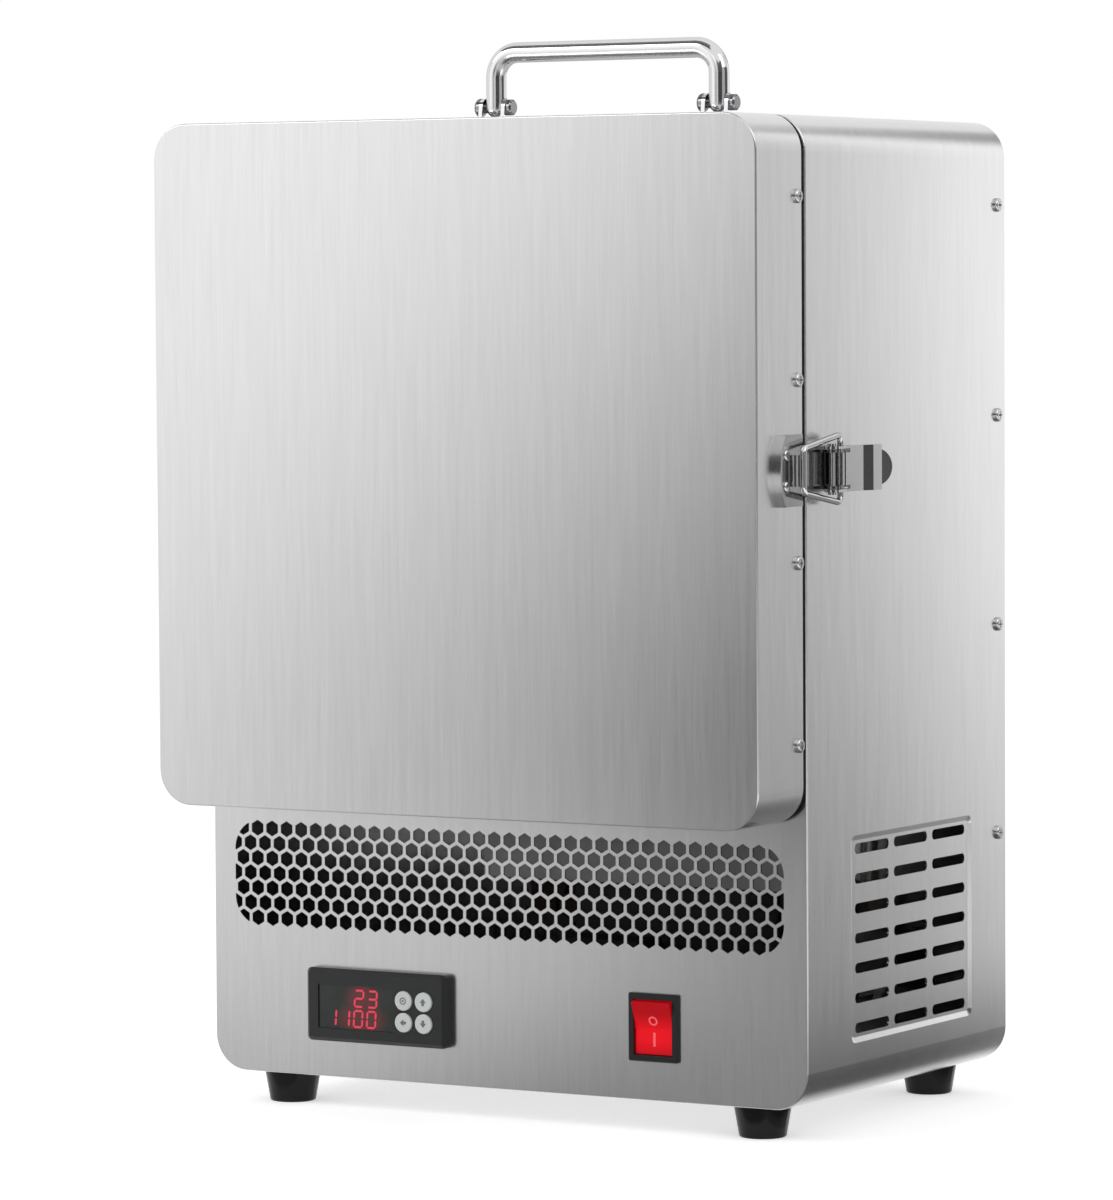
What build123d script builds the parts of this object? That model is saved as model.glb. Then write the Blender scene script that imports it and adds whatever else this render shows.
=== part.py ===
# Jewellery kiln: a small front-loading electric furnace in a folded steel case.
# Lengths are in millimetres and angles in degrees.
# X runs to the right, Y to the back and Z up.
# The origin is on the plane that the feet stand on, under the middle of the case.
from build123d import *
import os
from math import atan2, cos, radians, sqrt, tan

os.makedirs("parts", exist_ok=True)

# ---------------------------------------------------------------- driving sizes

# Fits, used wherever one piece sits in or beside another
SHEET_FIT = 0.1        # between a folded flange and the sheet it lies in
HOLE_FIT = 0.2         # round a screw, stud or rivet, on the radius
RUNNING_FIT = 0.05     # round a pin that turns, on the radius
MOVING_GAP = 0.3       # between faces of pieces that move past each other
BLOCK_FIT = 0.2        # round blocks dropped into a recess
CUT = 1.0              # how far a cutter runs past what it cuts

# Heated chamber and the wall built round it
CHAMBER_W = 152.0
CHAMBER_H = 152.0
CHAMBER_D = 140.0
BOARD_T = 25.0         # ceramic fibre board
BLANKET_T = 46.0       # ceramic fibre blanket at the sides, roof and floor
BLANKET_BACK_T = 21.0  # the same blanket behind the chamber
SHEET = 1.0            # every folded steel sheet
SIDE_GAP = 11.0        # air between inner box and case, at each side
REAR_GAP = 11.0        # air behind the inner box
TOP_GAP = 10.0         # air above the inner box
FLOOR_GAP = 13.0       # air between inner box and bay divider
MOUTH_LIP = 6.0        # how far the front panel covers the board ends

# Case
CORNER_R = 17.0
PANEL_EDGE_R = 0.8     # bend radius at the rim of front panel and door
BAY_H = 127.0          # electronics bay, from case bottom to divider
FRONT_FLANGE_D = 9.0
BACK_FLANGE_D = 11.0
DIVIDER_FLANGE_H = 10.0
BAFFLE_H = 31.5        # sheet that hangs from the divider before the heat sink
BAFFLE_BACK = 30.0      # from the front face to the baffle
BAFFLE_LEFT = 28.0      # from the middle to its left end
BAFFLE_MARGIN = 10.0    # from the case side to its right end
INNER_RIM = 7.0        # outward rim of the inner box, welded to the front panel
RIM_CORNER = 4.0       # how much rounder the rim's corners are than its width
STAND_W = 24.0         # channels that carry the inner box
STAND_END = 25.0       # from a channel's end to the case's front or back
STAND_MARGIN = 53.0    # from a channel's middle to the inner box's side
CASE_SCREWS = 4        # up each rear edge
CASE_SCREW_DROP = 39.3  # top screw below the case top
CASE_SCREW_LIFT = 110.5  # bottom screw above the case bottom
CASE_SCREW_INSET = 8.0  # in front of the back face

# Pan-head screws of the case and door
HEAD_R = 3.2
HEAD_H = 1.7
SHANK_R = 1.6
SHANK_L = 6.0
CROSS_W = 0.7          # cross recess in a head
CROSS_DEPTH = 0.9
CROSS_SPAN = 1.1       # recess length, as a share of the head's radius
HEAD_ROUND = 0.6       # rounding of a pan head, as a share of its height
RIVET_ROUND = 0.8      # the same for a rivet

# Feet
FOOT_H = 15.0
FOOT_TOP_R = 13.4
FOOT_BOTTOM_R = 10.8
FOOT_INSET_X = 32.5
FOOT_INSET_Y = 17.0
FOOT_BORE_R = 5.0
FOOT_BORE_D = 6.0
FOOT_EDGE_R = 1.0
FOOT_SCREW_R = 2.5
FOOT_SCREW_HEAD_R = 4.4
FOOT_SCREW_HEAD_H = 3.0
FOOT_NUT_FLATS = 8.0
FOOT_NUT_H = 4.0
FOOT_SCREW_PROUD = 1.0  # screw end above its nut

# Honeycomb grille across the front of the bay
HEX_PITCH = 8.2
HEX_FLATS = 6.6
HEX_ROWS = 7
GRILLE_MARGIN = 12.0   # from the case side to the grille
GRILLE_DROP = 7.1      # from divider to the top of the grille
GRILLE_CORNER_R = 14.0
HEX_SLIVER = 5.0       # a clipped cell smaller than this area is left out

# Louvre fields in the case sides
VENT_FRONT = 42.0      # from the front face to the field
VENT_L = 122.0
VENT_BOTTOM = 26.2
VENT_DROP = 5.8        # from divider to the top of the field
VENT_RECESS = 1.0
VENT_SLOPE = 2.4       # width of the pressed edge round the field
VENT_CORNER_R = 4.0
SLOT_H = 4.8
SLOT_GAP = 5.2         # between the ends of two slots
SLOT_END = 5.55        # from the field's ends to the first slot
SLOT_EDGE = 4.0        # from the field's top and bottom to the first slot
SLOT_COLUMNS = 3
SLOT_ROWS = 7

# Door
DOOR_T = 42.0
DOOR_GAP = 3.5         # door back to front panel
DOOR_DROP = 3.0        # door bottom above the divider's underside
DOOR_FLANGE_D = 9.0
DOOR_SCREWS = 4        # up each side
DOOR_SCREW_DROP = 37.0  # top screw below the door top
DOOR_SCREW_LIFT = 35.9  # bottom screw above the door bottom
DOOR_SCREW_INSET = 4.1  # in front of the door's back plane
PLUG_FLANGE = 9.0      # plug wider than the door's cut-out, each side
PLUG_FLANGE_T = 20.0
PLUG_PAD_GAP = 1.0     # pad to the front panel's cut-out
PLUG_STEP_GAP = 3.0    # step to the chamber wall
PLUG_STEP_D = 8.0      # how far the step enters the chamber
GASKET_INSET = 0.5
GASKET_W = 8.0

# Door hinges, on the left
HINGE_OFFSET = 4.0     # pin axis outside the case side
HINGE_KNUCKLE_R = 3.5
HINGE_PIN_R = 1.5
HINGE_L = 42.0
HINGE_LEAF_T = 1.5
HINGE_LEAF_W = 22.0
HINGE_INSET = 69.0     # from a hinge's middle to the door's end
HINGE_PIN_HEAD_T = 1.0
HINGE_SCREW_PITCH = 13.0
HINGE_SCREW_R = 1.5
HINGE_SCREW_HEAD_R = 2.6
HINGE_SCREW_HEAD_H = 0.9
HINGE_SCREW_L = 6.0
HINGE_SCREW_OUT = 13.2  # screw row from the knuckle's edge

# Toggle latch, on the right. Offsets are behind the front face and out of the side.
LATCH_PIVOT_Y = 12.0
LATCH_PIVOT_OUT = 7.0
LATCH_BAIL_Y = 22.0
LATCH_BAIL_OUT = 5.8
LATCH_PIN_R = 1.25
LATCH_PIN_HEAD_R = 2.2
LATCH_PIN_HEAD_T = 1.0
LATCH_PLATE_T = 1.2
LATCH_BASE_L = 40.0
LATCH_BASE_START = 5.0
LATCH_EAR_R = 3.6
LATCH_EAR_HALF = 8.8   # middle of the latch to the outer face of an ear
LATCH_EAR_T = 1.2
LEVER_HALF = 10.3
LEVER_SKIRT_T = 1.2
LEVER_SKIRT_END = 34.0
LEVER_KNUCKLE_R = 3.25
LEVER_KNUCKLE_HALF = 7.3
LEVER_STEP_Y = 38.0    # where the plate steps up to its ridge
LEVER_STEP_L = 6.0
LEVER_STEP_RISE = 2.0
LEVER_END = 52.2       # where the finger tab starts
LEVER_TAB_L = 5.4
LEVER_TAB_RISE = 2.5
LEVER_TAB_HALF = 8.5
LEVER_LAP = 1.0        # how far the plate reaches past the bail's centre
BAIL_R = 1.4
BAIL_NARROW = 10.0     # half length of the crossbar
BAIL_WIDE = 15.4       # half width at the lever
BAIL_REACH = 13.0      # crossbar in front of the front face
BAIL_BEND_R = 3.0
BAIL_END = 3.0         # half gap between the two ends
KEEPER_H = 32.0
KEEPER_FRONT = 30.0
KEEPER_BACK = 5.0
KEEPER_ARC = 5.0       # bow of the keeper's front edge
KEEPER_T = 1.2
KEEPER_RIM_H = 3.4
KEEPER_RIM_T = 1.4
KEEPER_RIDGE_W = 6.0
LATCH_RIVET_R = 1.6
LATCH_RIVET_HEAD_R = 2.5
LATCH_RIVET_HEAD_H = 1.1
LATCH_RIVET_L = 3.0
KEEPER_RIVET_Y = 21.0
KEEPER_RIVET_PITCH = 14.0
BASE_RIVETS_Y = (30.0, 39.0)

# Folding handle on the roof
HANDLE_SPAN = 122.0    # between leg centres
HANDLE_TOP = 40.0      # top of the bar above the case
HANDLE_R = 4.9
HANDLE_BEND_R = 12.0
HANDLE_PIVOT_H = 9.0
HANDLE_PIN_R = 2.5
HANDLE_HEAD_R = 4.5
HANDLE_HEAD_T = 3.2
HANDLE_NUT_R = 3.8
HANDLE_NUT_T = 2.6
HANDLE_NUT_EDGE = 0.8
BRACKET_W = 21.0
BRACKET_D = 23.0
BRACKET_T = 2.0
EAR_T = 2.0
EAR_R = 4.5
EAR_D = 11.0
BRACKET_SCREW_Y = 8.3
BRACKET_SCREW_R = 1.5
BRACKET_SCREW_HEAD_R = 2.5
BRACKET_SCREW_HEAD_H = 1.3
BRACKET_SCREW_L = 6.0

# Temperature controller in the front panel
CONTROL_MARGIN = 93.5  # from the left side of the case
CONTROL_Z = 34.8       # above the case bottom
BEZEL_W = 77.0
BEZEL_H = 34.5
BEZEL_T = 6.0
BEZEL_R = 2.5
BEZEL_BEVEL = 1.8
BEZEL_FACE_T = 2.0
HOUSING_W = 70.4
HOUSING_H = 28.4
HOUSING_D = 60.0
HOUSING_WALL = 1.5
WINDOW_W = 41.5
WINDOW_H = 20.5
WINDOW_X = -10.7       # window centre from the bezel's centre
WINDOW_Z = -0.6
WINDOW_T = 1.2
WINDOW_SINK = 0.7
WINDOW_LEDGE = 1.0
MODULE_W = 38.0
MODULE_H = 17.0
BOARD_PCB_T = 1.6
BOARD_PCB_Y = 2.0      # circuit board behind the front face
BUTTON_R = 4.6
BUTTON_GAP = 0.15
BUTTON_FLANGE_R = 4.95
BUTTON_FLANGE_T = 0.8
BUTTON_PROUD = 1.0
BUTTON_EDGE_R = 0.5
BUTTON_TRAVEL = 0.8
BUTTON_X = 21.6        # middle of the four buttons from the bezel's centre
BUTTON_Z = -0.8
BUTTON_PITCH_X = 11.0
BUTTON_PITCH_Z = 10.2
SWITCH_STUD_R = 2.0
CLIP_W = 8.0
CLIP_L = 12.0
CLIP_H = 20.0

# Rocker switch in the front panel
ROCKER_MARGIN = 79.25  # from the right side of the case
ROCKER_Z = 33.8        # above the case bottom
ROCKER_FLANGE_W = 25.9
ROCKER_FLANGE_H = 31.4
ROCKER_FLANGE_T = 2.0
ROCKER_CORNER_R = 1.0
ROCKER_EDGE = 0.6
ROCKER_BODY_W = 22.0
ROCKER_BODY_H = 28.0
ROCKER_BODY_D = 24.0
ROCKER_WALL = 0.85
ROCKER_R = 12.5        # ends of the rocker, about its pivot
ROCKER_PIVOT_Y = 1.0   # behind the front face
ROCKER_TILT = 10.0     # each way from level
ROCKER_CREST = 1.2     # middle of the rocker in front of its pivot
ROCKER_ROOT = 6.0
ROCKER_TRUNNION_R = 1.3
ROCKER_TRUNNION_L = 0.5
BLADE_W = 6.3
BLADE_T = 0.8
BLADE_L = 9.0

# Heating elements, in grooves of the side boards
ELEMENT_R = 4.0
ELEMENT_ROWS = 6
ELEMENT_MARGIN = 21.0  # outer rows from the chamber's roof and floor
ELEMENT_SINK = 3.5     # element axis inside the board face
GROOVE_GAP = 0.6
ELEMENT_FRONT = 15.0   # first bend behind the chamber mouth
ELEMENT_BACK = 10.0    # last bend in front of the chamber's back
BUSHING_R = 7.0
BUSHING_PROUD = 3.0
TERMINAL_R = 5.0
TERMINAL_L = 6.0
TERMINAL_END = 0.6     # closed end of the barrel
TAIL_SHORT = 1.2       # element tail ends in front of the barrel's end
TERMINAL_TAB = 9.0
TERMINAL_TAB_H = 4.0
LEAD_R = 1.6
LEAD_GAP = 1.0         # round a lead where it passes the divider

# Thermocouple and hearth
PROBE_R = 3.0
PROBE_REACH = 15.0
PROBE_MARGIN_X = 25.0  # from the chamber's right side
PROBE_DROP = 21.0      # below the chamber's roof
PROBE_HEAD_R = 6.0
PROBE_HEAD_T = 7.0
HEARTH_GAP_X = 10.0    # to the chamber's sides
HEARTH_GAP_Y = 7.0     # to the plug's step and the back
HEARTH_T = 6.0
HEARTH_R = 4.0

# Electronics bay
FAN_SIZE = 80.0
FAN_T = 25.0
FAN_DROP = 12.0        # top of the fan below the divider
FAN_CORNER_R = 4.0
FAN_WALL = 2.0         # hub cup
FAN_BLADE_T = 1.4
FAN_END_GAP = 1.0      # rotor to the frame's ends
FAN_BEARING_WALL = 2.0
FAN_HOLE_PITCH = 71.5
FAN_SCREW_R = 1.9
FAN_SCREW_L = 28.0
FAN_DUCT_R = 38.0
FAN_HUB_R = 18.0
FAN_BLADE_R = 36.5
FAN_BLADES = 7
FAN_PITCH_ANGLE = 38.0
FAN_SHAFT_R = 2.0
FAN_PLATE_T = 3.0
FAN_STRUT_W = 5.0
EXHAUST_HOLE_R = 2.5
EXHAUST_PITCH = 7.0
BLOCK_W = 30.0
BLOCK_H = 22.0
BLOCK_D = 15.0
BLOCK_DROP = 55.0      # middle of a terminal block below the divider
BLOCK_WELL_R = 3.0
BLOCK_WELL_D = 3.0
BLOCK_SLIT = 1.6       # slit between the two wells
CONNECTOR_W = 10.0
CONNECTOR_H = 14.0
SINK_W = 92.0
SINK_DROP = 22.0       # top of the heat sink below the divider
SINK_T = 5.0
SINK_MARGIN = 98.0     # middle of the heat sink from the right side of the case
SINK_Y = 40.0          # heat sink's front face behind the front face of the case
FIN_T = 1.8
FIN_D = 22.0
FIN_COUNT = 9
RELAY_W = 45.0
RELAY_H = 60.0
RELAY_T = 23.0
RELAY_Z = 40.0
RELAY_MARGIN = 1.0     # from the heat sink's left edge
RELAY_EDGE = 2.0
RELAY_CORNER_R = 3.0
RELAY_SCREW_PITCH = 47.6
RELAY_SCREW_R = 2.0
RELAY_SCREW_L = 26.0
INLET_MARGIN = 40.0    # from the right side of the case
INLET_Z = 48.0
INLET_W = 28.0
INLET_H = 50.0
INLET_T = 3.0
INLET_CORNER_R = 4.0
INLET_BODY_W = 20.0
INLET_BODY_H = 27.0
INLET_BODY_D = 19.0
SOCKET_W = 17.0
SOCKET_H = 24.0
SOCKET_D = 16.5
INLET_SCREW_PITCH = 40.0
INLET_SCREW_R = 1.5
INLET_SCREW_HEAD_R = 2.8
INLET_SCREW_HEAD_H = 1.8
INLET_SCREW_L = 8.0
INLET_PIN_W = 2.0
INLET_PIN_H = 4.0
INLET_PIN_L = 13.0
INLET_PIN_PITCH = 7.0
INLET_PIN_OFFSET = 2.0  # earth pin to one side, the others to the other
EARTH_OFFSET = 32.0    # earth stud from the inlet
EARTH_Z = 30.0
EARTH_R = 2.5
EARTH_L = 18.0         # inside the case
EARTH_OUT = 6.0        # outside it

# ---------------------------------------------------------------- worked out

INNER_W = CHAMBER_W + 2 * (BOARD_T + BLANKET_T + SHEET)
INNER_H = CHAMBER_H + 2 * (BOARD_T + BLANKET_T + SHEET)
BODY_W = INNER_W + 2 * (SIDE_GAP + SHEET)
BODY_H = BAY_H + SHEET + FLOOR_GAP + INNER_H + TOP_GAP + SHEET
BODY_D = SHEET + CHAMBER_D + BOARD_T + BLANKET_BACK_T + SHEET + REAR_GAP + SHEET

BASE_Z = FOOT_H
TOP_Z = BASE_Z + BODY_H
MID_Z = BASE_Z + BODY_H / 2
FRONT_Y = -BODY_D / 2
BACK_Y = BODY_D / 2
SIDE_X = BODY_W / 2

DIVIDER_Z = BASE_Z + BAY_H
INNER_Z = DIVIDER_Z + SHEET + FLOOR_GAP
CORE_Z = INNER_Z + INNER_H / 2
CHAMBER_FRONT = FRONT_Y + SHEET
CHAMBER_BACK = CHAMBER_FRONT + CHAMBER_D
BOARD_BACK = CHAMBER_BACK + BOARD_T
INNER_BACK = BOARD_BACK + BLANKET_BACK_T
BACK_INSIDE = BACK_Y - SHEET
CORE_W = CHAMBER_W + 2 * BOARD_T
CORE_H = CHAMBER_H + 2 * BOARD_T
MOUTH_W = CORE_W - 2 * MOUTH_LIP
MOUTH_H = CORE_H - 2 * MOUTH_LIP

DOOR_BOTTOM = DIVIDER_Z + DOOR_DROP
DOOR_H = TOP_Z - DOOR_BOTTOM
DOOR_Z = DOOR_BOTTOM + DOOR_H / 2
DOOR_BACK = FRONT_Y - DOOR_GAP
DOOR_FRONT = DOOR_BACK - DOOR_T
HINGE_X = -SIDE_X - HINGE_OFFSET
HINGE_Y = FRONT_Y - DOOR_GAP / 2
LATCH_Z = CORE_Z

FOOT_X = SIDE_X - FOOT_INSET_X
FOOT_Y = BACK_Y - FOOT_INSET_Y
CASE_SCREW_PITCH = (BODY_H - CASE_SCREW_DROP - CASE_SCREW_LIFT) / (CASE_SCREWS - 1)
DOOR_SCREW_PITCH = (DOOR_H - DOOR_SCREW_DROP - DOOR_SCREW_LIFT) / (DOOR_SCREWS - 1)
CASE_SCREW_Z = [TOP_Z - CASE_SCREW_DROP - i * CASE_SCREW_PITCH for i in range(CASE_SCREWS)]
DOOR_SCREW_Z = [TOP_Z - DOOR_SCREW_DROP - i * DOOR_SCREW_PITCH for i in range(DOOR_SCREWS)]
HINGE_SPACING = DOOR_H - 2 * HINGE_INSET
STAND_L = BODY_D - 2 * STAND_END
STAND_X = INNER_W / 2 - STAND_MARGIN

VENT_H = BAY_H - VENT_BOTTOM - VENT_DROP
VENT_Y = FRONT_Y + VENT_FRONT + VENT_L / 2
VENT_Z = BASE_Z + VENT_BOTTOM + VENT_H / 2
VENT_BEND = SHEET * tan(atan2(VENT_RECESS, VENT_SLOPE) / 2)  # how far a bend moves inside
SLOT_L = (VENT_L - 2 * SLOT_END - (SLOT_COLUMNS - 1) * SLOT_GAP) / SLOT_COLUMNS
SLOT_PITCH_Y = SLOT_L + SLOT_GAP
SLOT_PITCH_Z = (VENT_H - 2 * SLOT_EDGE - SLOT_H) / (SLOT_ROWS - 1)

ELEMENT_PITCH = (CHAMBER_H - 2 * ELEMENT_MARGIN) / (ELEMENT_ROWS - 1)
ELEMENT_X = CHAMBER_W / 2 + ELEMENT_SINK
ELEMENT_LOW_Z = CORE_Z - ELEMENT_PITCH * (ELEMENT_ROWS - 1) / 2
TAIL_Z = (ELEMENT_LOW_Z, ELEMENT_LOW_Z + ELEMENT_PITCH * (ELEMENT_ROWS - 1))
TERMINAL_BACK = INNER_BACK + SHEET + BUSHING_PROUD + TERMINAL_L
TERMINAL_Y = TERMINAL_BACK - TERMINAL_L / 2
PROBE_X = CHAMBER_W / 2 - PROBE_MARGIN_X
PROBE_Z = CORE_Z + CHAMBER_H / 2 - PROBE_DROP
HEARTH_W = CHAMBER_W - 2 * HEARTH_GAP_X
HEARTH_D = CHAMBER_D - PLUG_STEP_D - 2 * HEARTH_GAP_Y

CONTROL_X = CONTROL_MARGIN - SIDE_X
ROCKER_X = SIDE_X - ROCKER_MARGIN
FAN_Z = BAY_H - FAN_DROP - FAN_SIZE / 2
BLOCK_Z = BAY_H - BLOCK_DROP
SINK_H = BAY_H - SHEET - SINK_DROP
SINK_X = SIDE_X - SINK_MARGIN
INLET_X = SIDE_X - INLET_MARGIN
EARTH_X = INLET_X - EARTH_OFFSET
RELAY_X = SINK_X - SINK_W / 2 + RELAY_MARGIN + RELAY_W / 2


# ---------------------------------------------------------------- shape helpers

def block(x0, x1, y0, y1, z0, z1):
    return Pos((x0 + x1) / 2, (y0 + y1) / 2, (z0 + z1) / 2) * Box(x1 - x0, y1 - y0, z1 - z0)


def plate_y(outline, y0, y1):
    """An outline drawn in X and Z, as a plate from y0 to y1."""
    return extrude(Plane.XZ.offset(-y1) * outline, y1 - y0)


def plate_x(outline, x0, x1):
    """An outline drawn in Y and Z, as a plate from x0 to x1."""
    return extrude(Plane.YZ.offset(x0) * outline, x1 - x0)


def plate_z(outline, z0, z1):
    """An outline drawn in X and Y, as a plate from z0 to z1."""
    return extrude(Plane.XY.offset(z0) * outline, z1 - z0)


def rod_x(x0, x1, y, z, r):
    return Pos((x0 + x1) / 2, y, z) * Rot(0, 90, 0) * Cylinder(r, x1 - x0)


def rod_y(x, y0, y1, z, r):
    return Pos(x, (y0 + y1) / 2, z) * Rot(90, 0, 0) * Cylinder(r, y1 - y0)


def rod_z(x, y, z0, z1, r):
    return Pos(x, y, (z0 + z1) / 2) * Cylinder(r, z1 - z0)


def aim(solid, at, outward):
    """Turns a solid that points up from the origin, and puts it at a point."""
    return Plane(origin=at, z_dir=outward) * solid


def round_rect(w, h, r, x=0.0, z=0.0):
    return Pos(x, z) * RectangleRounded(w, h, r)


def pan_screw(head_r, head_h, shank_r, shank_l):
    """A pan-head screw that points down, with the underside of its head at the origin."""
    head = Pos(0, 0, head_h / 2) * Cylinder(head_r, head_h)
    head = fillet(head.edges().group_by(Axis.Z)[-1], head_h * HEAD_ROUND)
    depth = min(CROSS_DEPTH, head_h * HEAD_ROUND)
    for turn in (0, 90):
        cross = Rot(0, 0, turn) * Box(head_r * CROSS_SPAN, CROSS_W, 2 * depth)
        head -= Pos(0, 0, head_h) * cross
    return head + Pos(0, 0, -shank_l / 2) * Cylinder(shank_r, shank_l)


def dome_rivet(head_r, head_h, shank_r, shank_l):
    """A domed rivet that points down, with the underside of its head at the origin."""
    head = Pos(0, 0, head_h / 2) * Cylinder(head_r, head_h)
    head = fillet(head.edges().group_by(Axis.Z)[-1], head_h * RIVET_ROUND)
    return head + Pos(0, 0, -shank_l / 2) * Cylinder(shank_r, shank_l)


def window(w, h, x, z):
    """A plain rectangle drawn in X and Z."""
    return Pos(x, z) * Rectangle(w, h)


def save(name, pieces):
    """Writes one node; a list of pieces stays a group of separate solids."""
    shape = Compound(children=list(pieces)) if isinstance(pieces, list) else pieces
    export_step(shape, f"parts/{name}.step")


def case_outline(inset):
    """The case's rounded outline seen from the front, drawn in by an inset."""
    return round_rect(BODY_W - 2 * inset, BODY_H - 2 * inset, CORNER_R - inset, 0, MID_Z)


def door_outline(inset):
    return round_rect(BODY_W - 2 * inset, DOOR_H - 2 * inset, CORNER_R - inset, 0, DOOR_Z)


# ---------------------------------------------------------------- case

def case_screw_places():
    """Where the screws up the rear edges pass through the case, with their way out."""
    y = BACK_Y - CASE_SCREW_INSET
    return [((side * SIDE_X, y, z), (side, 0, 0)) for side in (-1, 1) for z in CASE_SCREW_Z]


def screw_holes(places, r, depth):
    drill = Pos(0, 0, -depth / 2) * Cylinder(r, depth + 2 * CUT)
    return [aim(drill, at, out) for at, out in places]


def pressed_block(grow, x):
    """A block from the field's small outline to, one recess further out, its large one."""
    outlines = []
    for inset, at in ((VENT_SLOPE, x - VENT_RECESS), (0, x)):
        more = grow - inset
        flat = round_rect(VENT_L + 2 * more, VENT_H + 2 * more, VENT_CORNER_R + more, VENT_Y, VENT_Z)
        outlines.append(Plane.YZ.offset(at) * flat)
    return loft(outlines, ruled=True)


def vent_field():
    """The right side's louvre field: what the recess adds inside and cuts outside."""
    wall = SIDE_X - SHEET
    mouth = round_rect(VENT_L, VENT_H, VENT_CORNER_R, VENT_Y, VENT_Z)
    boss = pressed_block(VENT_BEND, wall)
    pocket = pressed_block(0, SIDE_X) + plate_x(mouth, SIDE_X, SIDE_X + CUT)
    slots = []
    for column in range(SLOT_COLUMNS):
        for row in range(SLOT_ROWS):
            slot_y = VENT_Y + (column - (SLOT_COLUMNS - 1) / 2) * SLOT_PITCH_Y
            slot_z = VENT_Z + (row - (SLOT_ROWS - 1) / 2) * SLOT_PITCH_Z
            slots.append(Pos(slot_y, slot_z) * SlotOverall(SLOT_L, SLOT_H))
    cut = plate_x(Sketch() + slots, wall - VENT_RECESS - CUT, SIDE_X + CUT)
    return boss, pocket, cut


def case_wrapper():
    """The folded sheet that makes the case's bottom, sides and top."""
    shell = plate_y(case_outline(0) - case_outline(SHEET), FRONT_Y + SHEET, BACK_Y)
    boss, pocket, cut = vent_field()
    shell = shell + boss - pocket - cut
    shell -= screw_holes(case_screw_places(), SHANK_R + HOLE_FIT, SHEET)
    shell -= screw_holes(foot_places(), FOOT_SCREW_R + HOLE_FIT, SHEET)
    shell -= screw_holes(bracket_screw_places(TOP_Z), BRACKET_SCREW_R + HOLE_FIT, SHEET)
    shell -= screw_holes(hinge_screw_places(1, -SIDE_X), HINGE_SCREW_R + HOLE_FIT, SHEET)
    shell -= screw_holes(base_rivet_places(SIDE_X), LATCH_RIVET_R + HOLE_FIT, SHEET)
    return shell


def grille_holes():
    """Honeycomb cells, cut off by the grille's rounded outline."""
    width = BODY_W - 2 * GRILLE_MARGIN
    row_step = HEX_PITCH * sqrt(3) / 2
    height = (HEX_ROWS - 1) * row_step + HEX_FLATS / cos(radians(30))
    middle = DIVIDER_Z - GRILLE_DROP - height / 2
    clip = round_rect(width, height, GRILLE_CORNER_R, 0, middle)
    corner_x = width / 2 - GRILLE_CORNER_R
    corner_z = height / 2 - GRILLE_CORNER_R
    across = int(width / HEX_PITCH)
    cells = []
    for row in range(HEX_ROWS):
        count = across if row % 2 == 0 else across + 1
        z = (row - (HEX_ROWS - 1) / 2) * row_step
        for i in range(count):
            x = (i - (count - 1) / 2) * HEX_PITCH
            cell = Pos(x, middle + z) * RegularPolygon(HEX_FLATS / 2, 6, False, rotation=30)
            near_end = abs(x) > width / 2 - HEX_PITCH
            near_corner = abs(x) > corner_x and abs(z) > corner_z
            if near_end or near_corner:
                cell = cell & clip
                cell = Sketch() + [f for f in cell.faces() if f.area > HEX_SLIVER]
            cells.extend(cell.faces())
    return cells


def front_panel():
    """The flat front sheet, with its flange, grille, chamber mouth and two cut-outs."""
    plate = plate_y(case_outline(0), FRONT_Y, FRONT_Y + SHEET)
    plate = fillet(plate.edges().group_by(Axis.Y)[0], PANEL_EDGE_R)
    ring = case_outline(SHEET + SHEET_FIT) - case_outline(2 * SHEET + SHEET_FIT)
    plate += plate_y(ring, FRONT_Y + SHEET, FRONT_Y + FRONT_FLANGE_D)
    fit = 2 * BLOCK_FIT
    control = window(HOUSING_W + fit, HOUSING_H + fit, CONTROL_X, BASE_Z + CONTROL_Z)
    rocker = window(ROCKER_BODY_W + fit, ROCKER_BODY_H + fit, ROCKER_X, BASE_Z + ROCKER_Z)
    mouth = window(MOUTH_W, MOUTH_H, 0, CORE_Z)
    for holes in ([control, rocker, mouth], grille_holes()):
        plate -= plate_y(Sketch() + holes, FRONT_Y - CUT, FRONT_Y + SHEET + CUT)
    return plate


def exhaust_holes():
    """Round holes in a honeycomb pattern behind the fan."""
    row_step = EXHAUST_PITCH * sqrt(3) / 2
    reach = FAN_DUCT_R - EXHAUST_HOLE_R
    rows = int(reach / row_step)
    holes = []
    for row in range(-rows, rows + 1):
        for i in range(-rows - 1, rows + 2):
            x = (i + (row % 2) / 2) * EXHAUST_PITCH
            z = row * row_step
            if sqrt(x * x + z * z) < reach:
                holes.append(Pos(x, BASE_Z + FAN_Z + z) * Circle(EXHAUST_HOLE_R))
    return holes


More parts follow.
